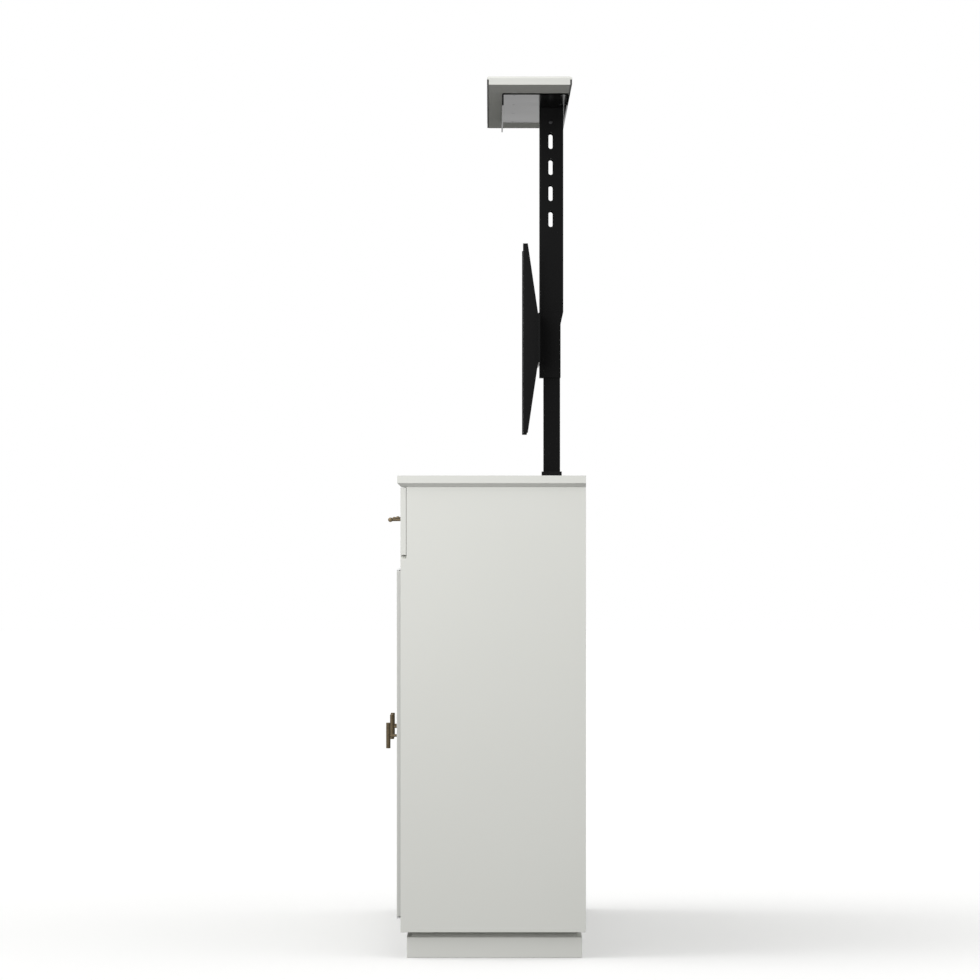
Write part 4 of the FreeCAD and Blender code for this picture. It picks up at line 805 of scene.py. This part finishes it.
def t_knob(name, x, face_y, z, along):
    """One knob on a face, its bar along x or z."""
    bar_axis = Vector(along)
    bar_y = face_y - KNOB_REACH + KNOB_BAR_RADIUS
    start = Vector((x, bar_y, z)) - bar_axis * KNOB_BAR_LENGTH / 2
    r = KNOB_BAR_RADIUS
    half = [(0.0, 0.0), (r - 0.0011, 0.0), (r - 0.0003, 0.0003), (r, 0.0011)]
    half += [(r - sunk, out) for out, sunk in KNOB_GROOVE]
    other_half = [(radius, KNOB_BAR_LENGTH - out) for radius, out in reversed(half)]
    bar = turn_piece(name, half + other_half, start, bar_axis, 48)
    foot = KNOB_REACH - 0.0048
    post = turn_piece("post", [(0.0, 0.0), (0.003, 0.0), (0.003, foot - 0.003),
                               (0.0033, foot - 0.0018), (0.0040, foot - 0.0012),
                               (0.0042, foot - 0.0008), (0.0042, foot - 0.0001),
                               (0.0020, foot), (0.0020, foot + 0.0079), (0.0, foot + 0.008)],
                      (x, bar_y, z), BACK, 40)
    only(bar)
    post.select_set(True)
    bpy.ops.object.join()
    smooth_rounds(bar, 35)
    return bar


brass, tree, shader = new_finish("aged_brass", (0.100, 0.076, 0.047), (0.165, 0.128, 0.080),
                                 70.0, (0.30, 0.46), 1400.0, 0.06, 0.0003, 0.5)
shader.inputs["Metallic"].default_value = 1.0
patina = tree.nodes.new("ShaderNodeTexNoise")
patina.inputs["Scale"].default_value = 380.0
patina.inputs["Detail"].default_value = 6.0
tree.links.new(tree.nodes["Texture Coordinate"].outputs["Object"], patina.inputs["Vector"])
lay_over(tree, shader, patina.outputs["Fac"], 0.55, 0.72, 1.0, (0.060, 0.048, 0.033))
for bay in bays:
    for kind, face_y, along in (("door", DOOR_FACE_Y, UP), ("drawer", DRAWER_FACE_Y, RIGHT)):
        low, high = corners(kind + "_knob_" + bay)
        middle = (low + high) / 2
        knob = t_knob(kind + "_t_knob_" + bay, middle.x, face_y, middle.z, along)
        fit(knob, kind + "_" + bay, brass, "aged_brass", kind + "_knob_" + bay)

# ---- Drawer boxes and runners
# Beech boxes glued at the corners, and beech runners screwed to the partitions. The grain
# runs along each board, so the sides show it lengthways and not across.
wood, tree, shader = new_finish("beech", (0.50, 0.335, 0.195), (0.62, 0.44, 0.27),
                                3.0, (0.52, 0.64), 260.0, 0.12, 0.0006, 0.35)
place = tree.nodes["Texture Coordinate"]
along_x = tree.nodes.new("ShaderNodeMapping")
along_x.inputs["Scale"].default_value = (0.6, 14.0, 14.0)
along_y = tree.nodes.new("ShaderNodeMapping")
along_y.inputs["Scale"].default_value = (14.0, 0.6, 14.0)
turned = tree.nodes.new("ShaderNodeMath")
turned.operation = "GREATER_THAN"
turned.inputs[1].default_value = 0.5
lie = tree.nodes.new("ShaderNodeMix")
lie.data_type = "VECTOR"
tree.links.new(faces_x(tree), turned.inputs[0])
tree.links.new(place.outputs["Object"], along_x.inputs["Vector"])
tree.links.new(place.outputs["Object"], along_y.inputs["Vector"])
tree.links.new(turned.outputs[0], lie.inputs["Factor"])
tree.links.new(along_x.outputs["Vector"], lie.inputs["A"])
tree.links.new(along_y.outputs["Vector"], lie.inputs["B"])
tree.links.new(lie.outputs["Result"], tree.nodes["Noise Texture"].inputs["Vector"])
flecks = tree.nodes["fine"]
flecks.inputs["Scale"].default_value = 18.0
flecks.inputs["Detail"].default_value = 8.0
tree.links.new(lie.outputs["Result"], flecks.inputs["Vector"])
lay_over(tree, shader, flecks.outputs["Fac"], 0.52, 0.70, 0.55, (0.36, 0.215, 0.110))
give_finish(wood, [nodes["drawer_runners"]] + [nodes["drawer_box_" + bay] for bay in bays])

# ---- Plinth
# Four painted boards glued into a frame and screwed up into the bottom panel. A rebate along
# the top leaves a narrow shadow gap under the cabinet, and the glides are let into the foot.
SHADOW_GAP = 0.0112
GAP_DEPTH = 0.011
FOOT_LIFT = 0.0004
PLINTH_BOARD = 0.018
PLINTH_EDGE = 0.0012
plinth_low, plinth_high = corners("plinth_boards")
gap_z = plinth_high.z - SHADOW_GAP


def plinth_block(name, inset, low_z, high_z):
    """A block set in from the plinth's outer faces, or out when the inset is negative."""
    return start_block(name, (plinth_low.x + inset, plinth_low.y + inset, low_z),
                       (plinth_high.x - inset, plinth_high.y - inset, high_z))


plinth = plinth_block("plinth_frame", 0.0, FOOT_LIFT, plinth_high.z)
ease_edges(plinth, lambda a, b: abs(a.z - b.z) > 0.02, PLINTH_EDGE, 3)
cut_out(plinth, plinth_block("inside", PLINTH_BOARD, -BEYOND, 0.07))
gap = plinth_block("gap", -BEYOND, gap_z, plinth_high.z + BEYOND)
cut_out(gap, plinth_block("core", GAP_DEPTH, 0.0, 0.08))
cut_out(plinth, gap)
smooth_rounds(plinth, 40)
fit(plinth, "cabinet", paint, "painted_board", "plinth_boards")

# ---- Glides
# White nylon discs nailed under the plinth, dished round the nail's head and rounded at the
# rim, so that the cabinet slides without marking a floor.
GLIDE_INSET = 0.011
GLIDE_HEIGHT = 0.003
glide_low, glide_high = corners("glides")
first = (glide_low.x + GLIDE_INSET, glide_low.y + GLIDE_INSET, 0.0)
last = (glide_high.x - GLIDE_INSET, glide_high.y - GLIDE_INSET)
glide = turn_piece("glide_1", [(0.0, 0.0013), (0.0024, 0.0013), (0.0030, 0.0006), (0.0034, 0.0),
                               (0.0072, 0.0), (0.0080, 0.0005), (0.0084, 0.0012),
                               (0.0084, GLIDE_HEIGHT), (0.0, GLIDE_HEIGHT)], first, UP, 40)
smooth_rounds(glide, 35)
fit(glide, "cabinet", nylon, "white_plastic", "glides")
fit_grid(glide, (first[0], (first[0] + last[0]) / 2, last[0]), (first[1], last[1]),
         "cabinet", nylon, "white_plastic")
